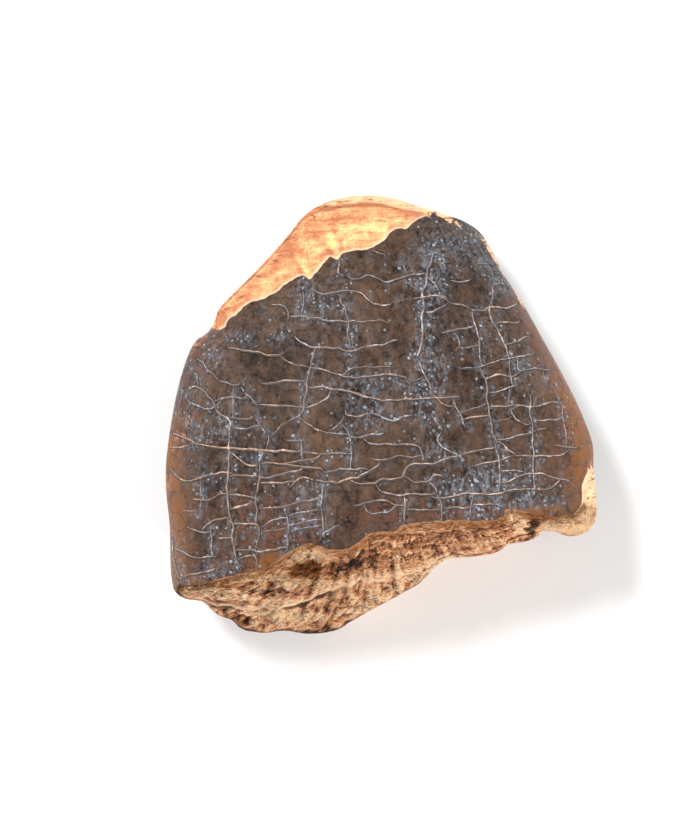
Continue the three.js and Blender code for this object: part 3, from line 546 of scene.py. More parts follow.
def lerp(a, b, t):
    return a + (b - a) * t


def smoothstep(value, low, high):
    t = np.clip((value - low) / (high - low), 0, 1)
    return t * t * (3 - 2 * t)


def rounding(distance, width):
    """How far a rounding has come up, from 0 at the edge to 1 where it is complete."""
    t = 1 - np.clip(distance / width, 0, 1)
    return np.sqrt(1 - t * t)


def closed_curve(points, steps):
    """Points along a smooth closed curve, with steps of them from each given point to the next."""
    given = np.array([(*p, 0.0)[:3] for p in points], float)
    before, after, beyond = np.roll(given, 1, 0), np.roll(given, -1, 0), np.roll(given, -2, 0)
    gap0 = np.sqrt(np.linalg.norm(given - before, axis=1))[:, None]
    gap1 = np.sqrt(np.linalg.norm(after - given, axis=1))[:, None]
    gap2 = np.sqrt(np.linalg.norm(beyond - after, axis=1))[:, None]
    leave = (given - before) / gap0 - (after - before) / (gap0 + gap1) + (after - given) / gap1
    arrive = (after - given) / gap1 - (beyond - given) / (gap1 + gap2) + (beyond - after) / gap2
    leave, arrive = leave * gap1, arrive * gap1
    t = (np.arange(steps) / steps)[None, :, None]
    start, end, leave, arrive = (v[:, None, :] for v in (given, after, leave, arrive))
    squared = -3 * start + 3 * end - 2 * leave - arrive
    cubed = 2 * start - 2 * end + leave + arrive
    return (start + leave * t + squared * t**2 + cubed * t**3).reshape(-1, 3)


def compass(points):
    """A function that gives the radius and the height of a closed curve at any angles."""
    curve = closed_curve(points, 16)
    angles = np.arctan2(curve[:, 1], curve[:, 0])
    order = np.argsort(angles)
    radii = np.hypot(curve[:, 0], curve[:, 1])[order]
    heights = curve[order, 2]
    angles = angles[order]

    def read(angle):
        radius = np.interp(angle, angles, radii, period=2 * np.pi)
        return radius, np.interp(angle, angles, heights, period=2 * np.pi)

    return read


outline = compass(OUTLINE)
unbroken = compass(UNBROKEN_OUTLINE)
enamel_edge = compass(ENAMEL_EDGE)
ledge = compass(LEDGE)


def whole_radius(angle):
    """The radius of the whole crown. It is the outline itself where the side is unbroken."""
    radius = outline(angle)[0]
    beyond = unbroken(angle)[0] - radius
    return radius + beyond * smoothstep(beyond, 0.3, 0.9)


def spots(marks, x, y):
    """What a list of soft oval marks adds up to at each point."""
    total = np.zeros(np.shape(x))
    for cx, cy, rx, ry, turn, height in marks:
        a = math.radians(turn)
        u = ((x - cx) * math.cos(a) + (y - cy) * math.sin(a)) / rx
        v = ((y - cy) * math.cos(a) - (x - cx) * math.sin(a)) / ry
        total = total + height * np.exp(-(u * u + v * v))
    return total


def outer_face(x, y):
    """The outer face of the whole crown, with the low lumps and folds of its enamel."""
    angle = np.arctan2(y, x)
    along = y - CREST_Y
    fall = np.where(along > 0, TIP_FALL, ROOT_FALL) * along * along
    lumps = 0.1 * noise(x / 4, y / 7, 3.3) + 0.05 * noise(x / 1.1, y / 3.5, 5.1)
    lumps = lumps + 0.025 * layered_noise(x / 0.7, y / 1.1, 2.2, 3)
    dome = OUTER_TOP - fall - SIDE_FALL * x * x + lumps
    edge = outline(angle)[1]
    inside = whole_radius(angle) - np.hypot(x, y)
    return edge + (dome - edge) * rounding(inside, OUTER_ROUND) + spots(ENAMEL_CHIPS, x, y)


def inner_face(x, y):
    """The inner face: a bulge near the root, and a spoon with a middle ridge above it."""
    angle = np.arctan2(y, x)
    arch = INNER_ARCH * np.exp(-(((y - ARCH_Y) / ARCH_WIDTH) ** 2))
    profile = arch - REST_DEPTH + ROOT_RISE * np.maximum(0, ROOT_RISE_Y - y) ** 2
    spoon = smoothstep(y, -4, 5)
    from_hollow = (np.abs(x) - HOLLOW_X) / HOLLOW_WIDTH
    hollow = HOLLOW_DEPTH * np.exp(-from_hollow * from_hollow) * (1 - smoothstep(y, 9, 13))
    across = lerp(INNER_SIDE_RISE * x * x, hollow - 0.002 * x * x, spoon)
    face = profile + across + 0.15 * noise(x / 3, y / 4, 8.1) + 0.04 * noise(x / 0.8, y / 2, 1.4)
    edge = outline(angle)[1] - MARGIN_WALL
    inside = whole_radius(angle) - np.hypot(x, y)
    return np.maximum(0, edge + (face - edge) * rounding(inside, INNER_ROUND))


class Spokes:
    """The radius and the height, at each of a set of angles, of the rings that the skin hangs between."""

    def __init__(self, angle):
        self.angle = angle
        self.cos, self.sin = np.cos(angle), np.sin(angle)
        self.rim, rim_z = outline(angle)
        shelf_end, shelf_z = ledge(angle)
        enamel_end = enamel_edge(angle)[0]
        self.broken = smoothstep(self.rim - enamel_end, THIN_BREAK, DEEP_BREAK)
        self.root = self.broken * smoothstep(-self.sin, 0.3, 0.5)
        inset = lerp(MARGIN_INSET, LEAST_ENAMEL_INSET, self.broken)
        ragged = 0.09 * layered_noise(16 * self.cos, 16 * self.sin, 2.5, 3) * self.broken
        self.enamel = np.minimum(enamel_end + ragged, self.rim - inset)
        self.enamel_z = outer_face(*self.at(self.enamel))
        ledge_inset = lerp(LEDGE_INSET, LEAST_LEDGE_INSET, self.broken)
        ragged = 0.34 * layered_noise(11 * self.cos, 11 * self.sin, 7.5, 4) * self.root
        shelf_end = np.minimum(shelf_end + ragged, self.rim - ledge_inset)
        self.ledge = np.maximum(shelf_end, self.enamel + LEAST_SHELF)
        shelf_z = shelf_z + 0.35 * layered_noise(12 * self.cos, 12 * self.sin, 0.7, 4) * self.root
        self.ledge_z = lerp(outer_face(*self.at(self.ledge)), shelf_z, self.broken)
        self.rim_z = lerp(outer_face(*self.at(self.rim)), rim_z, self.broken)

    def at(self, radius):
        return radius * self.cos, radius * self.sin

    def shelf(self, t):
        """Between the foot of the enamel's step and the ledge."""
        start = self.enamel + STEP_RUN
        start_z = self.enamel_z - ENAMEL * self.broken
        radius = lerp(start, self.ledge, t)
        x, y = self.at(radius)
        whole = outer_face(x, y)
        hump = math.sin(math.pi * t)
        ends = min(1.0, 4 * t, 4 * (1 - t))
        bulge = SHELF_BULGE * self.root * hump
        rough = SHELF_ROUGH * noise(x * 0.9, y * 0.9, 5) * hump
        wander = 0.5 * noise(6 * self.cos, 6 * self.sin, 1.7)
        phase = t * LAMINAE + wander
        steps = LAMINA_RISE * (phase - np.floor(phase) - 0.5) * hump
        fine_phase = t * 11 + 1.6 * noise(14 * self.cos, 14 * self.sin, 6.1)
        fine = 0.2 * (fine_phase - np.floor(fine_phase) - 0.5) * ends
        level = lerp(start_z, self.ledge_z, t)
        grain = ends * (0.26 * layered_noise(x * 1.2, y * 2.4, level * 1.6, 5))
        scratch = 0.05 * noise((x + 0.6 * y) * 0.35, (y - 0.6 * x) * 2.6, 8.8)
        wear = (scratch + 0.06 * layered_noise(x * 2.2, y * 2.2, 6.6, 4)) * ends
        relief = lerp(wear, steps + fine + grain, self.root) * self.broken
        marks = spots(FLAKES, x, y) + spots(BREAK_CHIPS, x, y) * ends
        z = lerp(whole, level + bulge + rough + marks, self.broken)
        slope = (start_z - self.ledge_z) / np.maximum(self.ledge - start, 0.3) * self.root
        out, up = slope / np.hypot(slope, 1), 1 / np.hypot(slope, 1)
        x, y = self.at(radius + relief * out)
        return x, y, z + relief * up, relief + marks * 0.4

    def fracture(self, t):
        """Between the foot of the ledge and the widest outline."""
        drop = lerp(LIP_DROP, LEDGE_DROP, self.root) * self.broken
        room = self.rim - self.ledge
        radius = lerp(self.ledge + np.minimum(LEDGE_RUN, 0.4 * room), self.rim, t)
        x, y = self.at(radius)
        start_z = self.ledge_z - np.minimum(drop, 0.6 * np.abs(self.ledge_z - self.rim_z))
        start_z = np.maximum(start_z, self.rim_z)
        fade = math.sin(math.pi * t) * np.clip(room, 0, 1)
        rough = BREAK_ROUGH * fade * noise(x * 1.3, y * 1.3, 9)
        level = lerp(start_z, self.rim_z, t)
        crumbs = (0.15 + 0.85 * fade) * 0.5 * layered_noise(x * 1.7, y * 1.9, level * 1.7, 5) * self.root
        relief = crumbs * np.clip(room * 2, 0, 1)
        relief = relief * self.broken
        marks = (spots(FLAKES, x, y) + spots(BREAK_CHIPS, x, y)) * (1 - t)
        z = lerp(outer_face(x, y), level + rough + marks, self.broken)
        slope = (start_z - self.rim_z) / np.maximum(self.rim - self.ledge, 0.3) * self.root
        out, up = slope / np.hypot(slope, 1), 1 / np.hypot(slope, 1)
        x, y = self.at(radius + np.minimum(relief * out, self.rim - radius))
        return x, y, z + relief * up, relief + marks * 0.4

    def wall(self, t):
        """Down the side wall, from the widest outline at 0 to its foot at 1."""
        tall = self.broken * np.clip(self.rim_z / TALL_WALL, 0, 1)
        cut = UNDERCUT * tall * (0.8 + 0.6 * noise(3 * self.cos, 3 * self.sin, 0.5))
        beside = (outline(self.angle - 0.1)[0] + outline(self.angle + 0.1)[0]) / 2
        smooth = lerp(self.rim, np.minimum(self.rim, beside), self.broken)
        foot = smooth - np.maximum(0.04, cut)
        foot_z = inner_face(*self.at(foot))
        z = lerp(self.rim_z, np.minimum(foot_z, self.rim_z - LEAST_WALL), t)
        fade = math.sin(math.pi * t)
        pitted = WALL_PITS * tall * (0.45 + noise(7 * self.cos, 7 * self.sin, z * 0.55)) * fade
        crumbs = 0.3 * tall * fade * (0.5 + layered_noise(18 * self.cos, 18 * self.sin, z * 2.2, 4))
        pits = np.maximum(0, pitted) + np.maximum(0, crumbs)
        x, y = self.at(lerp(self.rim, foot, t * t) - pits)
        # The fourth value darkens the wall where it is pitted: painted shade in the pits.
        return x, y, z, 0.08 - 0.25 * pits


def even_angles():
    """A function that turns shares of the way round the outline into angles."""
    angles = np.linspace(0, 2 * np.pi, 1441)
    radius = outline(angles)[0]
    x, y = radius * np.cos(angles), radius * np.sin(angles)
    lengths = np.concatenate([[0], np.cumsum(np.hypot(np.diff(x), np.diff(y)))])
    return lambda share: np.interp(share * lengths[-1], lengths, angles)


def skin_rings():
    """Every ring of the skin, from the middle of the outer face to the middle of the inner face.
    Each is an array with a row for each point."""
    angle_at = even_angles()
    rings = []

    def add(*columns):
        """Adds a ring, whose columns are given in their order."""
        rings.append(np.stack(np.broadcast_arrays(*columns), -1).astype(float))

    def out_to(i, count):
        return 1 - (1 - i / count) ** EDGE_CROWDING

    def spokes_for(out, share=1.0):
        count = max(LEAST_AROUND, round(AROUND * out * share))
        return Spokes(angle_at(np.arange(count) / count))

    for i in range(1, ENAMEL_RINGS):
        out = out_to(i, ENAMEL_RINGS)
        s = spokes_for(out)
        x, y = s.at(s.enamel * out)
        add(x, y, outer_face(x, y), 0, 0, 0, 1)
    s = Spokes(angle_at(np.arange(AROUND) / AROUND))
    add(*s.at(s.enamel), s.enamel_z, 0, 0, 0, 1)
    for i in range(SHELF_RINGS + 1):
        add(*s.shelf(i / SHELF_RINGS), s.broken, s.root, 1)
    for i in range(BREAK_RINGS + 1):
        add(*s.fracture(i / BREAK_RINGS), s.broken, s.root, 1)
    for i in range(1, WALL_RINGS + 1):
        add(*s.wall(i / WALL_RINGS), s.broken, s.root, WALL_OUTER)
    for i in range(INNER_RINGS - 1, 0, -1):
        out = out_to(i, INNER_RINGS)
        s = spokes_for(out, INNER_SHARE)
        foot = np.hypot(*s.wall(1.0)[:2])
        x, y = s.at(foot * out)
        add(x, y, inner_face(x, y), 0, 0, 0, 0)
    add_hollows(rings)
    return rings


def add_hollows(rings):
    """Turns the relief of the broken rings into how far each point stands out from those round it.
    The material darkens the hollows by it as painted shade and lightens the crests as painted light.
    """
    full = [i for i, ring in enumerate(rings) if len(ring) == AROUND and ring[0, OUTER] > WALL_OUTER]
    numbers = full[1:]  # the first one is the enamel's edge
    height = np.stack([rings[i][:, 2] for i in numbers])
    around = sum(np.roll(height, k, 1) for k in range(-3, 4)) / 7
    padded = np.concatenate([around[:2], around, around[-2:]])
    mean = sum(padded[k:k + len(around)] for k in range(5)) / 5
    for i, row in zip(numbers, height - mean):
        rings[i][:, RELIEF] = row * rings[i][:, BARE]


def stitch(first_a, count_a, first_b, count_b):
    """Triangles between two neighbouring rings, whose points may differ in number."""
    faces = []
    i = j = 0
    while i < count_a or j < count_b:
        p, q = first_a + i % count_a, first_b + j % count_b
        if j >= count_b or (i < count_a and (i + 1) * count_b <= (j + 1) * count_a):
            i += 1
            faces.append((p, q, first_a + i % count_a))
        else:
            j += 1
            faces.append((p, q, first_b + j % count_b))
    return faces


def skin():
    """The points of the whole skin with their values, and its triangles."""
    rings = skin_rings()
    middle_outer = np.array([[0, 0, outer_face(0.0, 0.0), 0, 0, 0, 1]], float)
    middle_inner = np.array([[0, 0, inner_face(0.0, 0.0), 0, 0, 0, 0]], float)
    firsts = np.cumsum([1] + [len(ring) for ring in rings])
    faces = []
    for i in range(len(rings[0])):
        faces.append((0, 1 + i, 1 + (i + 1) % len(rings[0])))
    for k in range(1, len(rings)):
        faces += stitch(int(firsts[k - 1]), len(rings[k - 1]), int(firsts[k]), len(rings[k]))
    last, count = int(firsts[-2]), len(rings[-1])
    for i in range(count):
        faces.append((int(firsts[-1]), last + (i + 1) % count, last + i))
    return np.concatenate([middle_outer, *rings, middle_inner]), faces


def smoothed(points):
    """A run of points with its corners rounded. The ends stay."""
    for _ in range(2):
        near = 0.75 * points[:-1] + 0.25 * points[1:]
        far = 0.25 * points[:-1] + 0.75 * points[1:]
        cut = np.stack([near, far], 1).reshape(-1, 2)
        points = np.concatenate([points[:1], cut, points[-1:]])
    return points


def traced_cracks():
    """The strength, the tone and the points in mm of each crack."""
    cracks = []
    for corner, rows in TRACED_CRACKS:
        for strength, tone, *flat in rows:
            pixels = corner + np.reshape(flat, (-1, 2)) / CROP_ENLARGED
            points = (pixels - (PICTURE_ORIGIN_X, PICTURE_ORIGIN_Y)) / PICTURE_SCALE * (1, -1)
            cracks.append((strength, tone, points.round(2)))
    return cracks


def joined_cracks(cracks):
    """The cracks' points, with each end run on to the next crack if that one is near."""
    runs = [points for _, _, points in cracks]
    dense = []
    for run in runs:
        share = np.linspace(0, len(run) - 1, 12 * len(run))
        dense.append(np.stack([np.interp(share, np.arange(len(run)), run[:, k]) for k in (0, 1)], 1))
    joined = []
    for i, run in enumerate(runs):
        others = np.concatenate([d for j, d in enumerate(dense) if j != i])
        for end, inner in ((0, 1), (-1, -2)):
            gaps = np.linalg.norm(others - run[end], axis=1)
            heading = run[end] - run[inner]
            ahead = (others - run[end]) @ heading / (gaps * np.linalg.norm(heading) + 0.001)
            gaps = np.where(ahead > 0.75, gaps, 99.0)
            if 0.05 < gaps.min() < CRACK_REACH:
                meeting = others[gaps.argmin()][None]
                run = np.concatenate([meeting, run] if end == 0 else [run, meeting])
        joined.append(run)
    return joined


def crack_paths(step):
    """Each crack as points at even steps, with its strength and its tone."""
    paths = []
    cracks = traced_cracks()
    for number, (points, (strength, tone, _)) in enumerate(zip(joined_cracks(cracks), cracks)):
        points = smoothed(points)
        lengths = np.concatenate([[0], np.cumsum(np.linalg.norm(np.diff(points, axis=0), axis=1))])
        count = max(4, round(lengths[-1] / step) + 1)
        along = np.linspace(0, lengths[-1], count)
        path = np.stack([np.interp(along, lengths, points[:, k]) for k in (0, 1)], 1)
        path[:, 0] += CRACK_WANDER * noise(path[:, 0] * 1.7, path[:, 1] * 1.7, number * 0.37)
        path[:, 1] += CRACK_WANDER * noise(path[:, 0] * 1.7, path[:, 1] * 1.7, number * 0.37 + 40)
        paths.append((strength, tone, path, along))
    return paths


def nearest(points, x, y, values=None):
    """The distance from each place to the nearest of the points, and the value that belongs to it."""
    tree = kdtree.KDTree(len(points))
    for i, (px, py) in enumerate(points):
        tree.insert((px, py, 0), i)
    tree.balance()
    found = [tree.find((px, py, 0)) for px, py in zip(x, y)]
    distance = np.array([f[2] for f in found])
    if values is None:
        return distance
    return distance, values[[f[1] for f in found]]


def upright(path):
    """Whether a crack runs along the crown rather than across it."""
    return abs(path[-1, 1] - path[0, 1]) > abs(path[-1, 0] - path[0, 0])


def crack_closeness(x, y):
    """How near each place is to a crack: once sharply, with the crack's own strength, and once softly.
    The third value is how near it is to an upright crack, along which mineral grains line up."""
    paths = crack_paths(GROOVE_STEP)
    points = np.concatenate([path for _, _, path, _ in paths])
    strengths = np.concatenate([np.full(len(path), strength) for strength, _, path, _ in paths])
    distance, strength = nearest(points, x, y, strengths)
    standing = np.concatenate([path for _, _, path, _ in paths if upright(path)])
    chain = np.exp(-((nearest(standing, x, y) / CHAIN_WIDTH) ** 2))
    return strength * np.exp(-((distance / GROOVE_WIDTH) ** 2)), np.exp(-distance / PLATE_ROUND), chain


def painted_values(points):
    """The named values of every point that the crown's material is mixed by."""
    x, y, z, relief, bare, root, outer = points.T
    angle = np.arctan2(y, x)
    below = np.maximum(0, outline(angle)[1] - z) * (outer <= WALL_OUTER)
    on_skin = np.exp(-((below / MARK_FADE) ** 2)) * (outer >= WALL_OUTER)
    spokes = Spokes(np.linspace(-math.pi, math.pi, EDGE_POINTS))
    edge_points = np.stack(spokes.at(spokes.enamel), 1)
    beyond = np.sign(np.hypot(x, y) - Spokes(angle).enamel)
    values = {
        "bare": bare,
        "root": root,
        "relief": relief,
        "outer": outer,
        "rim": outline(angle)[0] - np.hypot(x, y),
        "edge": beyond * nearest(edge_points, x, y),
    }
    for name, marks in PATCHES.items():
        values[name] = spots(marks, x, y) * on_skin
    return values


def crown_points():
    """The crown's points in mm with their values, and its triangles."""
    points, faces = skin()
    values = painted_values(points)
    x, y = points[:, 0], points[:, 1]
    enamelled = (points[:, OUTER] > WALL_OUTER) * (points[:, BARE] < 0.5)
    sunk, near, chain = crack_closeness(x - GROOVE_SHIFT, y + GROOVE_SHIFT)
    sunk = sunk * enamelled
    points[:, 2] -= GROOVE_DEPTH * sunk
    points[:, 2] -= PLATE_DOME * near * enamelled
    # The same mask darkens the enamel beside each crack as painted shade.
    values["groove_shade"] = sunk
    values["chain"] = chain * enamelled
    return points[:, :3], values, faces


def centring():
    """How far the crown's own frame is moved to stand where the solid does."""
    angle = np.linspace(-math.pi, math.pi, EDGE_POINTS)
    radius = outline(angle)[0]
    x, y = radius * np.cos(angle), radius * np.sin(angle)
    low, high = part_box(NODE)
    middle = (low + high) / 2 / MM
    return np.array([middle.x - (x.min() + x.max()) / 2, middle.y - (y.min() + y.max()) / 2, 0.0])


CENTRING = centring()


def mesh_piece(name, points, faces, values, material):
    """A smooth mesh from points in mm, with a value of each kind on every point."""
    mesh = bpy.data.meshes.new(name)
    mesh.from_pydata([tuple(p) for p in (points + CENTRING) * MM], [], faces)
    mesh.update()
    for label, numbers in values.items():
        layer = mesh.attributes.new(label, "FLOAT", "POINT")
        layer.data.foreach_set("value", np.asarray(numbers, np.float32))
    mesh.shade_smooth()
    mesh.materials.append(material)
    piece = bpy.data.objects.new(name, mesh)
    bpy.context.scene.collection.objects.link(piece)
    return piece


def laid_on(surface, path, along, shift):
    """The points of a path where they meet the surface, with its normals there and their place along."""
    found = []
    for (x, y), s in zip(path + CENTRING[:2] + shift, along):
        place = Vector((x, y, OUTER_TOP + 5)) * MM
        hit, normal, _, _ = surface.ray_cast(place, Vector((0, 0, -1)))
        if hit is not None and normal.z > LEAST_SLOPE:
            found.append((*(np.array(hit) / MM - CENTRING), *normal, s))
    found = np.array(found).reshape(-1, 7)
    return found[:, :3], found[:, 3:6], found[:, 6]


def swept(centres, normals, along, section, half, rise):
    """A closed bar along the centres, thin at both ends. Each corner of its section is given as
    its place across, in half widths, its height, in rises, and its depth below the surface in mm."""
    sides = np.cross(np.gradient(centres, axis=0), normals)
    sides /= np.linalg.norm(sides, axis=1)[:, None]
    end = np.minimum(along - along[0], along[-1] - along) / RIDGE_TAPER
    thin = np.sqrt(np.clip(end, 0.02, 1))[:, None]
    rings = [
        centres + thin * (sides * half * across + normals * (rise * up - depth))
        for across, up, depth in section
    ]
    count = len(section)
    faces = []
    for i in range(len(centres) - 1):
        a, b = count * i, count * (i + 1)
        faces.extend((a + k, b + k, b + (k + 1) % count, a + (k + 1) % count) for k in range(count))
    last = count * (len(centres) - 1)
    faces.append(tuple(range(count)))
    faces.append(tuple(range(last + count - 1, last - 1, -1)))
    return np.stack(rings, 1).reshape(-1, 3), faces


def ridge_mesh(surface, width, height):
    """Points, values and faces of the pale ridges on the surface, and of the dark bar beside each,
    which is painted shadow and stands for the crack's opening.
    """
    points, faces = [], []
    values = {"tone": [], "gap_shadow": []}

    def add(bar, bar_faces, tone, gap_shadow):
        first = len(points)
        points.extend(bar)
        faces.extend(tuple(first + corner for corner in face) for face in bar_faces)
        values["tone"].extend([tone] * len(bar))
        values["gap_shadow"].extend([gap_shadow] * len(bar))

    for strength, tone, path, path_along in crack_paths(RIDGE_STEP):
        centres, normals, along = laid_on(surface, path, path_along, 0)
        if len(centres) < 3:
            continue
        beads = 0.9 if upright(path) else 0.6
        size = strength**0.8 * (1 + beads * noise(centres[:, 0] * 2.9, centres[:, 1] * 2.9, 4.7))[:, None]
        lift = strength**0.8 * (1 + 0.6 * noise(centres[:, 0] * 3.1, centres[:, 1] * 3.1, 9.2))[:, None]
        add(*swept(centres, normals, along, RIDGE_SECTION, width / 2 * size, height * lift), tone, 0.0)
        # A dark bar to the lower right of each ridge, as painted shadow.
        centres, normals, along = laid_on(surface, path, path_along, (GAP_SHADOW_SHIFT, -GAP_SHADOW_SHIFT))
        if len(centres) > 2:
            half = GAP_SHADOW_WIDTH / 2 * strength**0.5
            add(*swept(centres, normals, along, GAP_SHADOW_SECTION, half, GAP_SHADOW_RISE), tone, 1.0)
    return np.array(points), values, faces


class Graph:
    """Adds nodes to a tree. An input is a plain value or the output of an earlier node."""

    def __init__(self, tree):
        self.tree = tree

    def add(self, kind, inputs=(), **settings):
        made = self.tree.nodes.new(kind)
        for name, value in settings.items():
            setattr(made, name, value)
        for name, value in dict(inputs).items():
            self.feed(made.inputs[name], value)
        return made

    def feed(self, socket, value):
        if isinstance(value, bpy.types.NodeSocket):
            self.tree.links.new(value, socket)
        else:
            socket.default_value = value

    def math(self, operation, a, b=0.0, clamp=False):
        return self.add("ShaderNodeMath", {0: a, 1: b}, operation=operation, use_clamp=clamp).outputs[0]

    def times(self, first, *others):
        for other in others:
            first = self.math("MULTIPLY", first, other)
        return first

    def limited(self, a, b):
        """The product of two values, held between 0 and 1."""
        return self.math("MULTIPLY", a, b, clamp=True)

    def sum_of(self, *terms):
        """The sum of values, each given with its weight."""
        total = 0.0
        for value, weight in terms:
            total = self.math("ADD", total, self.times(value, weight))
        return total

    def mix(self, share, a, b):
        return self.add("ShaderNodeMix", {0: share, 6: a, 7: b}, data_type="RGBA").outputs[2]

    def tint(self, below, colour, *masks):
        """A colour laid over what lies below it, as strongly as the product of the masks."""
        return self.mix(self.times(*masks), below, rgba(colour))

    def blend(self, share, a, b):
        return self.add("ShaderNodeMix", {0: share, 2: a, 3: b}, data_type="FLOAT").outputs[0]

    def step(self, value, low, high):
        """0 below low and 1 above high. Low may be the greater one."""
        inputs = {0: value, 1: low, 2: high, 3: 0.0, 4: 1.0}
        return self.add("ShaderNodeMapRange", inputs, interpolation_type="SMOOTHSTEP").outputs[0]

    def value(self, name):
        return self.add("ShaderNodeAttribute", attribute_name=name).outputs["Fac"]

    def place(self, stretch=(1, 1, 1), turn=0.0):
        """Where a point lies on the object, in mm, turned and stretched."""
        spot = self.add("ShaderNodeTexCoord").outputs["Object"]
        inputs = {"Vector": spot, "Rotation": (0, 0, turn), "Scale": tuple(s / MM for s in stretch)}
        return self.add("ShaderNodeMapping", inputs, vector_type="POINT").outputs[0]

    def shaken(self, amount, scale, stretch=(1, 1, 1)):
        """The place in mm, moved to and fro by noise."""
        cloud = self.add("ShaderNodeTexNoise", {"Vector": self.place(), "Scale": scale, "Detail": 2.0})
        moved = {0: cloud.outputs["Color"], 1: (amount,) * 3, 2: self.place(stretch)}
        return self.add("ShaderNodeVectorMath", moved, operation="MULTIPLY_ADD").outputs[0]

    def noise(self, place, scale, detail=3.0, rough=0.5, wavy=0.0):
        inputs = {"Vector": place, "Scale": scale, "Detail": detail, "Roughness": rough, "Distortion": wavy}
        return self.add("ShaderNodeTexNoise", inputs).outputs["Fac"]

    def cells(self, place, scale, feature="F1"):
        return self.add("ShaderNodeTexVoronoi", {"Vector": place, "Scale": scale}, feature=feature)

    def grains(self, size, amount):
        """What the group of mineral grains puts out."""
        group = bpy.data.node_groups.get("mineral_grain") or mineral_grain()
        return self.add("ShaderNodeGroup", {"Size": size, "Amount": amount}, node_tree=group).outputs

    def bump(self, strength, depth, height):
        inputs = {"Strength": strength, "Distance": depth * MM, "Height": height}
        return self.add("ShaderNodeBump", inputs).outputs[0]

    def ramp(self, value, stops):
        made = self.add("ShaderNodeValToRGB", {0: value})
        elements = made.color_ramp.elements
        while len(elements) < len(stops):
            elements.new(0.5)
        for element, (at, colour) in zip(elements, stops):
            element.position = at
            element.color = rgba(colour)
        return made.outputs[0]


def rgba(colour):
    return (*colour[:3], 1.0)


def mineral_grain():
    """A node group: soft round grains of a mineral, with a ring round each, for every part of the tooth."""
    tree = bpy.data.node_groups.new("mineral_grain", "ShaderNodeTree")
    for name, start in (("Size", 0.3), ("Amount", 0.5)):
        tree.interface.new_socket(name, in_out="INPUT", socket_type="NodeSocketFloat").default_value = start
    for name in ("Grains", "Ring", "Height"):
        tree.interface.new_socket(name, in_out="OUTPUT", socket_type="NodeSocketFloat")
    g = Graph(tree)
    given = g.add("NodeGroupInput").outputs
    often = g.math("DIVIDE", 1.0, given["Size"])
    cells = g.cells(g.shaken(0.2, 5.0), often)
    picked = g.add("ShaderNodeSeparateColor", {0: cells.outputs["Color"]}).outputs
    chosen = g.step(g.math("SUBTRACT", given["Amount"], picked[0]), -0.08, 0.08)
    away = g.math("DIVIDE", cells.outputs["Distance"], g.blend(picked[1], 0.25, 0.55))
    strong = g.times(g.blend(picked[2], 0.35, 1.0), chosen)
    grains = g.times(g.step(away, 1.0, 0.35), strong)
    # The dark ring round a grain, which the enamel uses as painted shade.
    ring = g.times(g.step(away, 1.5, 1.0), strong)
    fine = g.noise(g.place(), g.times(often, 2.3), 3.0, 0.6)
    g.add("NodeGroupOutput", {"Grains": grains, "Ring": ring, "Height": g.sum_of((grains, 0.6), (fine, 0.5))})
    return tree


def new_material(name, roughness):
    material = bpy.data.materials.new(name)
    material.use_nodes = True
    g = Graph(material.node_tree)
    shader = material.node_tree.nodes["Principled BSDF"]
    shader.inputs["Roughness"].default_value = roughness
    return material, g, shader


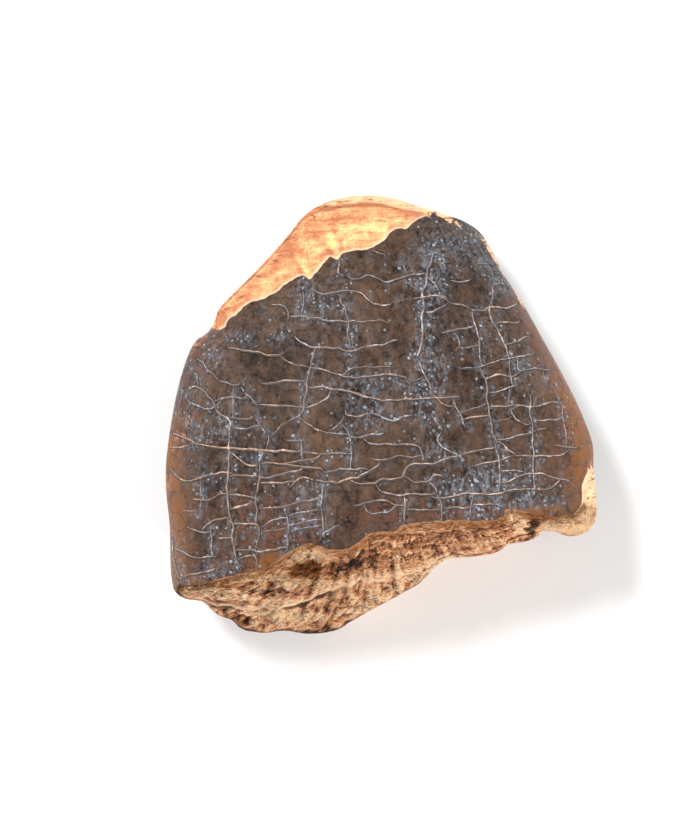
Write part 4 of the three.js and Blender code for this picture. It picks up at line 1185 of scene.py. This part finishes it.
def enamel_look(g, colours):
    """Colour, roughness and height of the dark, cracked enamel."""
    wide = g.noise(g.place((0.35, 0.2, 0.35)), 1.0, 4.0, 0.6, 0.6)
    small = g.noise(g.place((1.9, 1.3, 1.9)), 1.0, 5.0, 0.7, 0.3)
    tiny = g.noise(g.place(), 5.5, 4.0, 0.65, 0.4)
    patchy = g.sum_of((wide, 0.42), (small, 0.36), (tiny, 0.22))
    colour = g.ramp(patchy, [
        (0.39, colours.enamel_black), (0.48, colours.enamel), (0.6, colours.enamel_brown)])

    # Reddish and amber patches, salmon crusts, and painted shade in the grooves beside the cracks
    red = g.limited(g.value("red"), g.step(small, 0.3, 0.6))
    colour = g.tint(colour, colours.enamel_red, red, g.step(tiny, 0.3, 0.6))
    amber = g.limited(g.value("amber"), g.step(g.noise(g.place(), 1.1, 4.0, 0.6), 0.25, 0.5))
    amber = g.times(amber, g.blend(g.step(tiny, 0.36, 0.6), 0.6, 1.0))
    colour = g.tint(colour, colours.amber, amber)
    crust = g.step(g.noise(g.place(), 2.2, 5.0, 0.7, 0.8), 0.46, 0.58)
    colour = g.tint(colour, colours.rust, g.limited(g.value("rust"), crust), 0.85)
    colour = g.tint(colour, colours.enamel_black, g.step(g.value("groove_shade"), 0.25, 1.0), 0.75)

    # Hair cracks, which are weaker where the real cracks show
    lines = g.cells(g.shaken(0.22, 0.7, (0.95, 1.3, 1)), 0.8, "DISTANCE_TO_EDGE").outputs["Distance"]
    unseen = g.math("SUBTRACT", 1.0, g.times(g.value("outer"), 0.75))
    dark_cracks = g.times(g.step(lines, 0.05, 0.02), g.step(small, 0.62, 0.4))
    colour = g.tint(colour, colours.enamel_black, dark_cracks, 0.6)
    fine_cracks = g.times(g.step(lines, 0.03, 0.008), g.step(small, 0.3, 0.62))
    colour = g.tint(colour, colours.crack_brown, fine_cracks, unseen)

    # Clouding with painted blue sheen, and grains with painted glints, in upright streaks, in their patches
    # and along the upright cracks
    bands = g.noise(g.place((1.5, 0.2, 1.2)), 1.0, 4.0, 0.6, 0.25)
    streaks = g.times(g.step(bands, 0.5, 0.62), g.step(wide, 0.38, 0.55))
    likely = g.sum_of((streaks, 0.38), (g.value("specks"), 1.1), (g.value("chain"), 0.6))
    likely = g.math("ADD", g.times(likely, g.step(small, 0.34, 0.52)), 0.02)
    drops = g.noise(g.place((4.4, 2.0, 4.4)), 1.0, 3.0, 0.6, 0.5)
    haze_and_sheen = g.times(g.math("MINIMUM", likely, 1.0), g.step(drops, 0.4, 0.62))
    colour = g.tint(colour, colours.haze_and_sheen, haze_and_sheen, 0.62)
    large, fine = g.grains(0.5, likely), g.grains(0.3, likely)
    # The dark ring round each grain is painted shade.
    rings = g.math("MAXIMUM", large["Ring"], fine["Ring"])
    colour = g.tint(colour, colours.enamel_black, rings, 0.5)
    # The pale grains are mineral grains that also carry painted glints, in blue-grey and blue-white.
    colour = g.tint(colour, colours.haze_and_sheen, large["Grains"], 0.5)
    colour = g.tint(colour, colours.speck_and_glint, fine["Grains"], 0.7)

    grains = g.math("MAXIMUM", large["Grains"], fine["Grains"])
    roughness = g.math("ADD", g.blend(small, 0.16, 0.44), g.times(amber, 0.15))
    height = g.sum_of((grains, 1.7), (small, 1.3), (tiny, 1.1), (dark_cracks, -0.4))
    return colour, roughness, height


def facet_look(g, colours):
    """Colour, roughness and height of the worn facet, which is streaked along its length."""
    streaks = g.noise(g.place((0.4, 2.4, 1.0), -FACET_TURN), 1.0, 4.0, 0.65, 0.5)
    cloud = g.noise(g.place(), 0.8, 3.0, 0.6, 0.5)
    sand = g.noise(g.place(), 5.0, 4.0, 0.75, 0.5)
    # Yellow where the highlight patches lie: partly pale dentine, partly painted highlights.
    yellow = g.limited(g.value("pale_and_highlight"), g.step(streaks, 0.25, 0.6))
    rim = g.value("rim")
    outer_band = g.step(rim, 1.8, 0.4)
    # The relief darkens the facet's hollows as painted shade and lightens its crests as painted light.
    tone = g.sum_of(
        (streaks, 0.4), (cloud, 0.2), (sand, 0.4),
        (g.value("relief"), 1.2), (yellow, 0.1), (outer_band, -0.055))
    colour = g.ramp(tone, [
        (0.34, colours.dentine), (0.43, colours.facet_deep), (0.5, colours.facet),
        (0.57, colours.facet_pale), (0.66, colours.facet_yellow)])
    specks = g.grains(0.3, g.times(yellow, 0.4))
    colour = g.tint(colour, colours.facet_yellow, specks["Grains"], 0.7)

    # Dark and cream splinters along the tip, and the enamel's pale cut edge, with a painted highlight along
    # it
    lines = g.noise(g.place((0.7, 4.5, 1.0), -FACET_TURN + 0.25), 1.0, 3.0, 0.6, 0.8)
    colour = g.tint(colour, colours.dentine_dark, g.step(rim, 0.9, 0.5), g.step(lines, 0.44, 0.38), 0.75)
    colour = g.tint(colour, colours.cream, g.step(g.value("cream"), 0.2, 0.6), g.step(lines, 0.36, 0.5), 0.9)
    edge = g.step(g.math("ABSOLUTE", g.value("edge")), 0.26, 0.08)
    colour = g.tint(colour, colours.cut_edge_and_highlight, edge, g.step(sand, 0.36, 0.5), 0.8)
    return colour, g.blend(sand, 0.45, 0.75), g.sum_of((streaks, 0.8), (sand, 1.3))


def break_look(g, colours):
    """Colour, roughness and height of the broken, layered dentine at the root end and in the walls."""
    layers = g.noise(g.place((0.9, 4.2, 4.2), LAYER_TURN), 1.0, 5.0, 0.7, 1.2)
    crumbs = g.noise(g.place(), 4.5, 5.0, 0.75, 0.6)
    broad = g.noise(g.place((0.5, 1.2, 1.2), LAYER_TURN), 1.0, 3.0, 0.6, 0.6)
    sand = g.noise(g.place(), 10.0, 3.0, 0.7, 0.8)
    # The relief lightens crests and darkens hollows, the highlight patches lighten the ledges and lumps as
    # painted light, and the dark patches darken the hollows as painted shade.
    tone = g.sum_of(
        (layers, 0.35), (crumbs, 0.3), (broad, 0.15), (sand, 0.2),
        (g.value("relief"), 0.8), (g.value("pale_and_highlight"), 0.2), (g.value("dark"), -0.17))
    tone = g.math("ADD", g.times(g.math("SUBTRACT", tone, 0.5), BREAK_CONTRAST), 0.51)
    colour = g.ramp(tone, [
        (0.27, colours.dentine_black), (0.35, colours.dentine_dark), (0.43, colours.dentine),
        (0.51, colours.dentine_tan), (0.61, colours.cream)])

    # Crevices along the layers, and joints across them
    crevice = g.step(g.noise(g.place((1.1, 4.4, 4.4), CREVICE_TURN), 1.0, 5.0, 0.7, 2.6), 0.455, 0.415)
    colour = g.tint(colour, colours.dentine_black, crevice, 0.85)
    flakes = g.cells(g.shaken(0.5, 1.2, (0.9, 2.4, 2.4)), 1.1, "DISTANCE_TO_EDGE").outputs["Distance"]
    joints = g.times(g.step(flakes, 0.05, 0.015), g.step(broad, 0.44, 0.54))
    colour = g.tint(colour, colours.dentine_black, joints, 0.45)

    # Painted highlights in cream on the crests, amber under the enamel's edge and in its patches, and pale
    # grains
    lit = g.limited(g.value("cream"), g.step(crumbs, 0.34, 0.5))
    pale = g.mix(g.step(layers, 0.42, 0.56), rgba(colours.facet_pale), rgba(colours.cream))
    colour = g.mix(g.times(lit, 0.85), colour, pale)
    near_edge = g.times(g.step(g.value("edge"), 0.7, 0.15), g.step(crumbs, 0.35, 0.55))
    colour = g.tint(colour, colours.amber, near_edge, 0.7)
    colour = g.tint(colour, colours.amber, g.limited(g.value("amber"), g.step(crumbs, 0.3, 0.6)), 0.75)
    colour = g.tint(colour, colours.cream, g.grains(0.16, 0.2)["Grains"], 0.4)
    return colour, g.blend(crumbs, 0.38, 0.72), g.sum_of((crumbs, 2.2), (layers, 1.6), (crevice, -1.6))


def fossil_material(colours):
    """The tooth's material: enamel, worn facet and broken dentine, each where its values say."""
    material, g, shader = new_material("fossil_tooth", 0.4)
    shader.inputs["Specular IOR Level"].default_value = SHINE
    enamel, facet, broken = enamel_look(g, colours), facet_look(g, colours), break_look(g, colours)

    # The enamel ends raggedly, and it is chipped off along the rim where the cream patches are
    ragged = g.times(g.math("SUBTRACT", g.noise(g.place(), 1.8, 4.0, 0.65), 0.5), 1.6)
    outer, cream = g.value("outer"), g.value("cream")
    near_rim = g.step(g.sum_of((g.value("rim"), 1.0), (cream, -0.45), (ragged, 1.0)), -0.03, -0.15)
    chipped = g.step(g.math("SUBTRACT", g.sum_of((cream, 1.0), (ragged, 1.0), (outer, 0.9)), 0.9), 0.4, 0.5)
    bared = g.step(g.sum_of((g.value("bare"), 1.0), (ragged, 0.9)), 0.44, 0.56)
    is_bare = g.math("MAXIMUM", bared, g.times(chipped, near_rim))
    is_wall = g.times(g.step(outer, 0.8, 0.6), g.step(outer, 0.3, 0.4))
    is_broken = g.math("MAXIMUM", g.step(g.value("root"), 0.4, 0.6), is_wall)
    for name, mixed, k in (("Base Color", g.mix, 0), ("Roughness", g.blend, 1)):
        g.feed(shader.inputs[name], mixed(is_bare, enamel[k], mixed(is_broken, facet[k], broken[k])))
    height = g.blend(is_bare, enamel[2], g.blend(is_broken, facet[2], broken[2]))
    g.feed(shader.inputs["Normal"], g.bump(1.0, FOSSIL_BUMP, height))
    return material


def filling_material(colours):
    """The pale mineral that fills the cracks. It is faded in places, and dark on the bars beside
    the ridges, which are painted shadow and the cracks' openings.
    """
    material, g, shader = new_material("crack_filling", 0.42)
    change = g.noise(g.place(), 1.3, 4.0, 0.65)
    warm = g.mix(g.step(change, 0.42, 0.58), rgba(colours.filling_pink), rgba(colours.filling_tan))
    tone = g.math("ADD", g.value("tone"), g.times(g.math("SUBTRACT", change, 0.5), 0.9), clamp=True)
    colour = g.tint(warm, colours.filling_blue, tone)
    long_fade = g.step(g.noise(g.place(), 1.0, 2.0, 0.5), 0.43, 0.56)
    short_fade = g.step(g.noise(g.place(), 3.4, 3.0, 0.7), 0.44, 0.56)
    colour = g.tint(colour, colours.crack_brown, g.math("MAXIMUM", long_fade, short_fade), 0.78)
    # The bars beside the ridges are painted dark as shadow.
    colour = g.tint(colour, colours.enamel_black, g.value("gap_shadow"), 0.9)
    g.feed(shader.inputs["Base Color"], colour)
    g.feed(shader.inputs["Roughness"], g.blend(change, 0.3, 0.55))
    g.feed(shader.inputs["Normal"], g.bump(0.7, FILLING_BUMP, g.grains(0.11, 0.4)["Height"]))
    return material


def size_setting(label, text, default, high):
    return bpy.props.FloatProperty(
        name=label, description=text, default=default * MM, min=0.0, max=high * MM,
        precision=6, unit="LENGTH")


def colour_setting(label, text, default):
    return bpy.props.FloatVectorProperty(
        name=label, description=text, default=default, min=0.0, max=1.0, size=3, subtype="COLOR")


class TOOTH_PG_sizes(bpy.types.PropertyGroup):
    """Sizes of the crack ridges, and how the picture is taken."""

    ridge_width: size_setting("Ridge Width", "Width of a crack's pale ridge", 0.08, 0.5)
    ridge_height: size_setting("Ridge Height", "How far a ridge stands up", 0.02, 0.2)
    lens: bpy.props.FloatProperty(
        name="Lens", description="Focal length in mm", default=200.0, min=50.0, max=400.0)


class TOOTH_PG_colours(bpy.types.PropertyGroup):
    """Colours of the tooth's finishes."""

    enamel: colour_setting("Enamel", "Grey-brown of the enamel", (0.06, 0.033, 0.02))
    enamel_black: colour_setting("Dark Enamel", "Its darkest patches", (0.01, 0.005, 0.004))
    enamel_brown: colour_setting("Brown Enamel", "Its lighter patches", (0.125, 0.068, 0.04))
    enamel_red: colour_setting("Red Enamel", "Its reddish patches", (0.13, 0.038, 0.016))
    crack_brown: colour_setting("Faint Cracks", "Fine cracks and faded fillings", (0.155, 0.1, 0.072))
    amber: colour_setting("Amber", "Thin enamel at the margins", (0.26, 0.085, 0.01))
    rust: colour_setting("Rust", "Salmon crusts along the margins", (0.62, 0.26, 0.16))
    # Haze is blue-grey clouding of the enamel together with a painted blue sheen.
    haze_and_sheen: colour_setting("Haze", "Blue-grey clouding of the enamel", (0.2, 0.235, 0.28))
    # Specks are pale mineral grains with painted glints on them.
    speck_and_glint: colour_setting("Specks", "Pale grains in the enamel", (0.56, 0.63, 0.7))
    filling_pink: colour_setting("Pink Filling", "Pink-tan mineral in the cracks", (0.74, 0.5, 0.4))
    filling_tan: colour_setting("Tan Filling", "Orange-tan mineral in the cracks", (0.6, 0.33, 0.15))
    filling_blue: colour_setting("Blue Filling", "Blue-white mineral in the cracks", (0.42, 0.46, 0.54))
    facet: colour_setting("Facet", "Peach of the worn facet", (0.78, 0.35, 0.16))
    facet_deep: colour_setting("Deep Facet", "Its darker streaks", (0.58, 0.2, 0.085))
    facet_pale: colour_setting("Pale Facet", "Its paler streaks", (0.85, 0.48, 0.23))
    facet_yellow: colour_setting("Yellow Facet", "Its yellow patches", (0.88, 0.7, 0.28))
    # The cut edge's pink is partly its own colour and partly a painted highlight.
    cut_edge_and_highlight: colour_setting("Cut Edge", "The enamel's cut edge", (0.88, 0.56, 0.42))
    cream: colour_setting("Cream", "The brightest dentine", (0.98, 0.63, 0.37))
    dentine_tan: colour_setting("Tan Dentine", "Pale dentine", (0.84, 0.36, 0.155))
    dentine: colour_setting("Dentine", "Orange-brown dentine", (0.47, 0.19, 0.09))
    dentine_dark: colour_setting("Dark Dentine", "Brown dentine", (0.17, 0.066, 0.033))
    # Black dentine: the darkest end of the break's colours, laid on the deepest hollows as painted shade, and
    # the colour of its crevices and joints.
    dentine_black: colour_setting("Black Dentine", "Dirt in the deepest pits", (0.03, 0.016, 0.011))


class TOOTH_OT_crown_surface(bpy.types.Operator):
    """Build the visible surface of the crown, over the solid that it stands for."""

    bl_idname = "tooth.crown_surface"
    bl_label = "Crown Surface"

    def execute(self, context):
        points, values, faces = crown_points()
        material = fossil_material(context.scene.tooth_colours)
        crown = mesh_piece("crown_surface", points, faces, values, material)
        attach(crown, "root")
        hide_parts(NODE)
        return {"FINISHED"}


class TOOTH_OT_crack_ridges(bpy.types.Operator):
    """Build the pale ridges that stand in the cracks of the enamel."""

    bl_idname = "tooth.crack_ridges"
    bl_label = "Crack Ridges"

    def execute(self, context):
        crown = bpy.data.objects.get("crown_surface")
        if crown is None:
            raise RuntimeError("the crown surface has to be built before the ridges")
        sizes = context.scene.tooth_sizes
        surface = bvhtree.BVHTree.FromPolygons(
            [v.co for v in crown.data.vertices], [p.vertices for p in crown.data.polygons])
        points, values, faces = ridge_mesh(surface, sizes.ridge_width / MM, sizes.ridge_height / MM)
        material = filling_material(context.scene.tooth_colours)
        ridges = mesh_piece("crack_ridges", points, faces, values, material)
        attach(ridges, "root")
        return {"FINISHED"}


class TOOTH_OT_stage(bpy.types.Operator):
    """Set up the floor, the lights and the camera."""

    bl_idname = "tooth.stage"
    bl_label = "Stage"

    def execute(self, context):
        low, high = CAD_BOUNDS
        middle = (low + high) / 2
        self.add_floor()
        self.add_light("key_light", middle, *KEY_LIGHT)
        self.add_light("fill_light", middle, *FILL_LIGHT)
        self.add_camera(context)
        world = bpy.data.worlds.new("studio")
        world.use_nodes = True
        sky = world.node_tree.nodes["Background"]
        sky.inputs["Color"].default_value = (1.0, 1.0, 1.0, 1.0)
        sky.inputs["Strength"].default_value = WORLD_STRENGTH
        context.scene.world = world
        context.scene.view_settings.view_transform = "Standard"
        return {"FINISHED"}

    def add_floor(self):
        mesh = bpy.data.meshes.new("floor")
        corners = [(-FLOOR, -FLOOR, 0), (FLOOR, -FLOOR, 0), (FLOOR, FLOOR, 0), (-FLOOR, FLOOR, 0)]
        mesh.from_pydata(corners, [], [(0, 1, 2, 3)])
        material, _, shader = new_material("studio_floor", 0.9)
        shader.inputs["Base Color"].default_value = rgba([FLOOR_WHITE] * 3)
        mesh.materials.append(material)
        floor = bpy.data.objects.new("floor", mesh)
        bpy.context.scene.collection.objects.link(floor)

    def add_light(self, name, target, place, size, power):
        lamp = bpy.data.lights.new(name, "AREA")
        lamp.shape = "DISK"
        lamp.size = size
        lamp.energy = power
        light = bpy.data.objects.new(name, lamp)
        light.location = place
        light.rotation_euler = (target - Vector(place)).to_track_quat("-Z", "Y").to_euler()
        bpy.context.scene.collection.objects.link(light)

    def add_camera(self, context):
        lens = context.scene.tooth_sizes.lens
        data = bpy.data.cameras.new("camera")
        data.lens = lens
        data.sensor_width = SENSOR
        data.dof.use_dof = False
        camera = bpy.data.objects.new("camera", data)
        tall = PICTURE_HEIGHT / PICTURE_SCALE * MM
        shift = CENTRING * MM
        across = (PICTURE_WIDTH / 2 - PICTURE_ORIGIN_X) / PICTURE_SCALE * MM
        up = (PICTURE_ORIGIN_Y - PICTURE_HEIGHT / 2) / PICTURE_SCALE * MM
        camera.location = (across + shift[0], up + shift[1], OUTLINE_HEIGHT * MM + tall * lens / SENSOR)
        data.clip_start = NEAREST_SEEN
        data.clip_end = FARTHEST_SEEN
        bpy.context.scene.collection.objects.link(camera)
        context.scene.camera = camera


class TOOTH_PT_builder(bpy.types.Panel):
    """Lists the pieces and their settings."""

    bl_idname = "TOOTH_PT_builder"
    bl_label = "Fossil Tooth Crown"
    bl_space_type = "VIEW_3D"
    bl_region_type = "UI"
    bl_category = "Tooth"

    def draw(self, context):
        for settings in (context.scene.tooth_sizes, context.scene.tooth_colours):
            for name in settings.bl_rna.properties.keys():
                if name not in ("rna_type", "name"):
                    self.layout.prop(settings, name)
        for operator in OPERATORS:
            self.layout.operator(operator.bl_idname)


OPERATORS = (TOOTH_OT_crown_surface, TOOTH_OT_crack_ridges, TOOTH_OT_stage)
CLASSES = (TOOTH_PG_sizes, TOOTH_PG_colours, *OPERATORS, TOOTH_PT_builder)


def register():
    for cls in CLASSES:
        bpy.utils.register_class(cls)
    bpy.types.Scene.tooth_sizes = bpy.props.PointerProperty(type=TOOTH_PG_sizes)
    bpy.types.Scene.tooth_colours = bpy.props.PointerProperty(type=TOOTH_PG_colours)


def unregister():
    del bpy.types.Scene.tooth_colours
    del bpy.types.Scene.tooth_sizes
    for cls in reversed(CLASSES):
        bpy.utils.unregister_class(cls)


def main():
    register()
    bpy.ops.tooth.crown_surface()
    bpy.ops.tooth.crack_ridges()
    bpy.ops.tooth.stage()


if __name__ == "__main__":
    main()
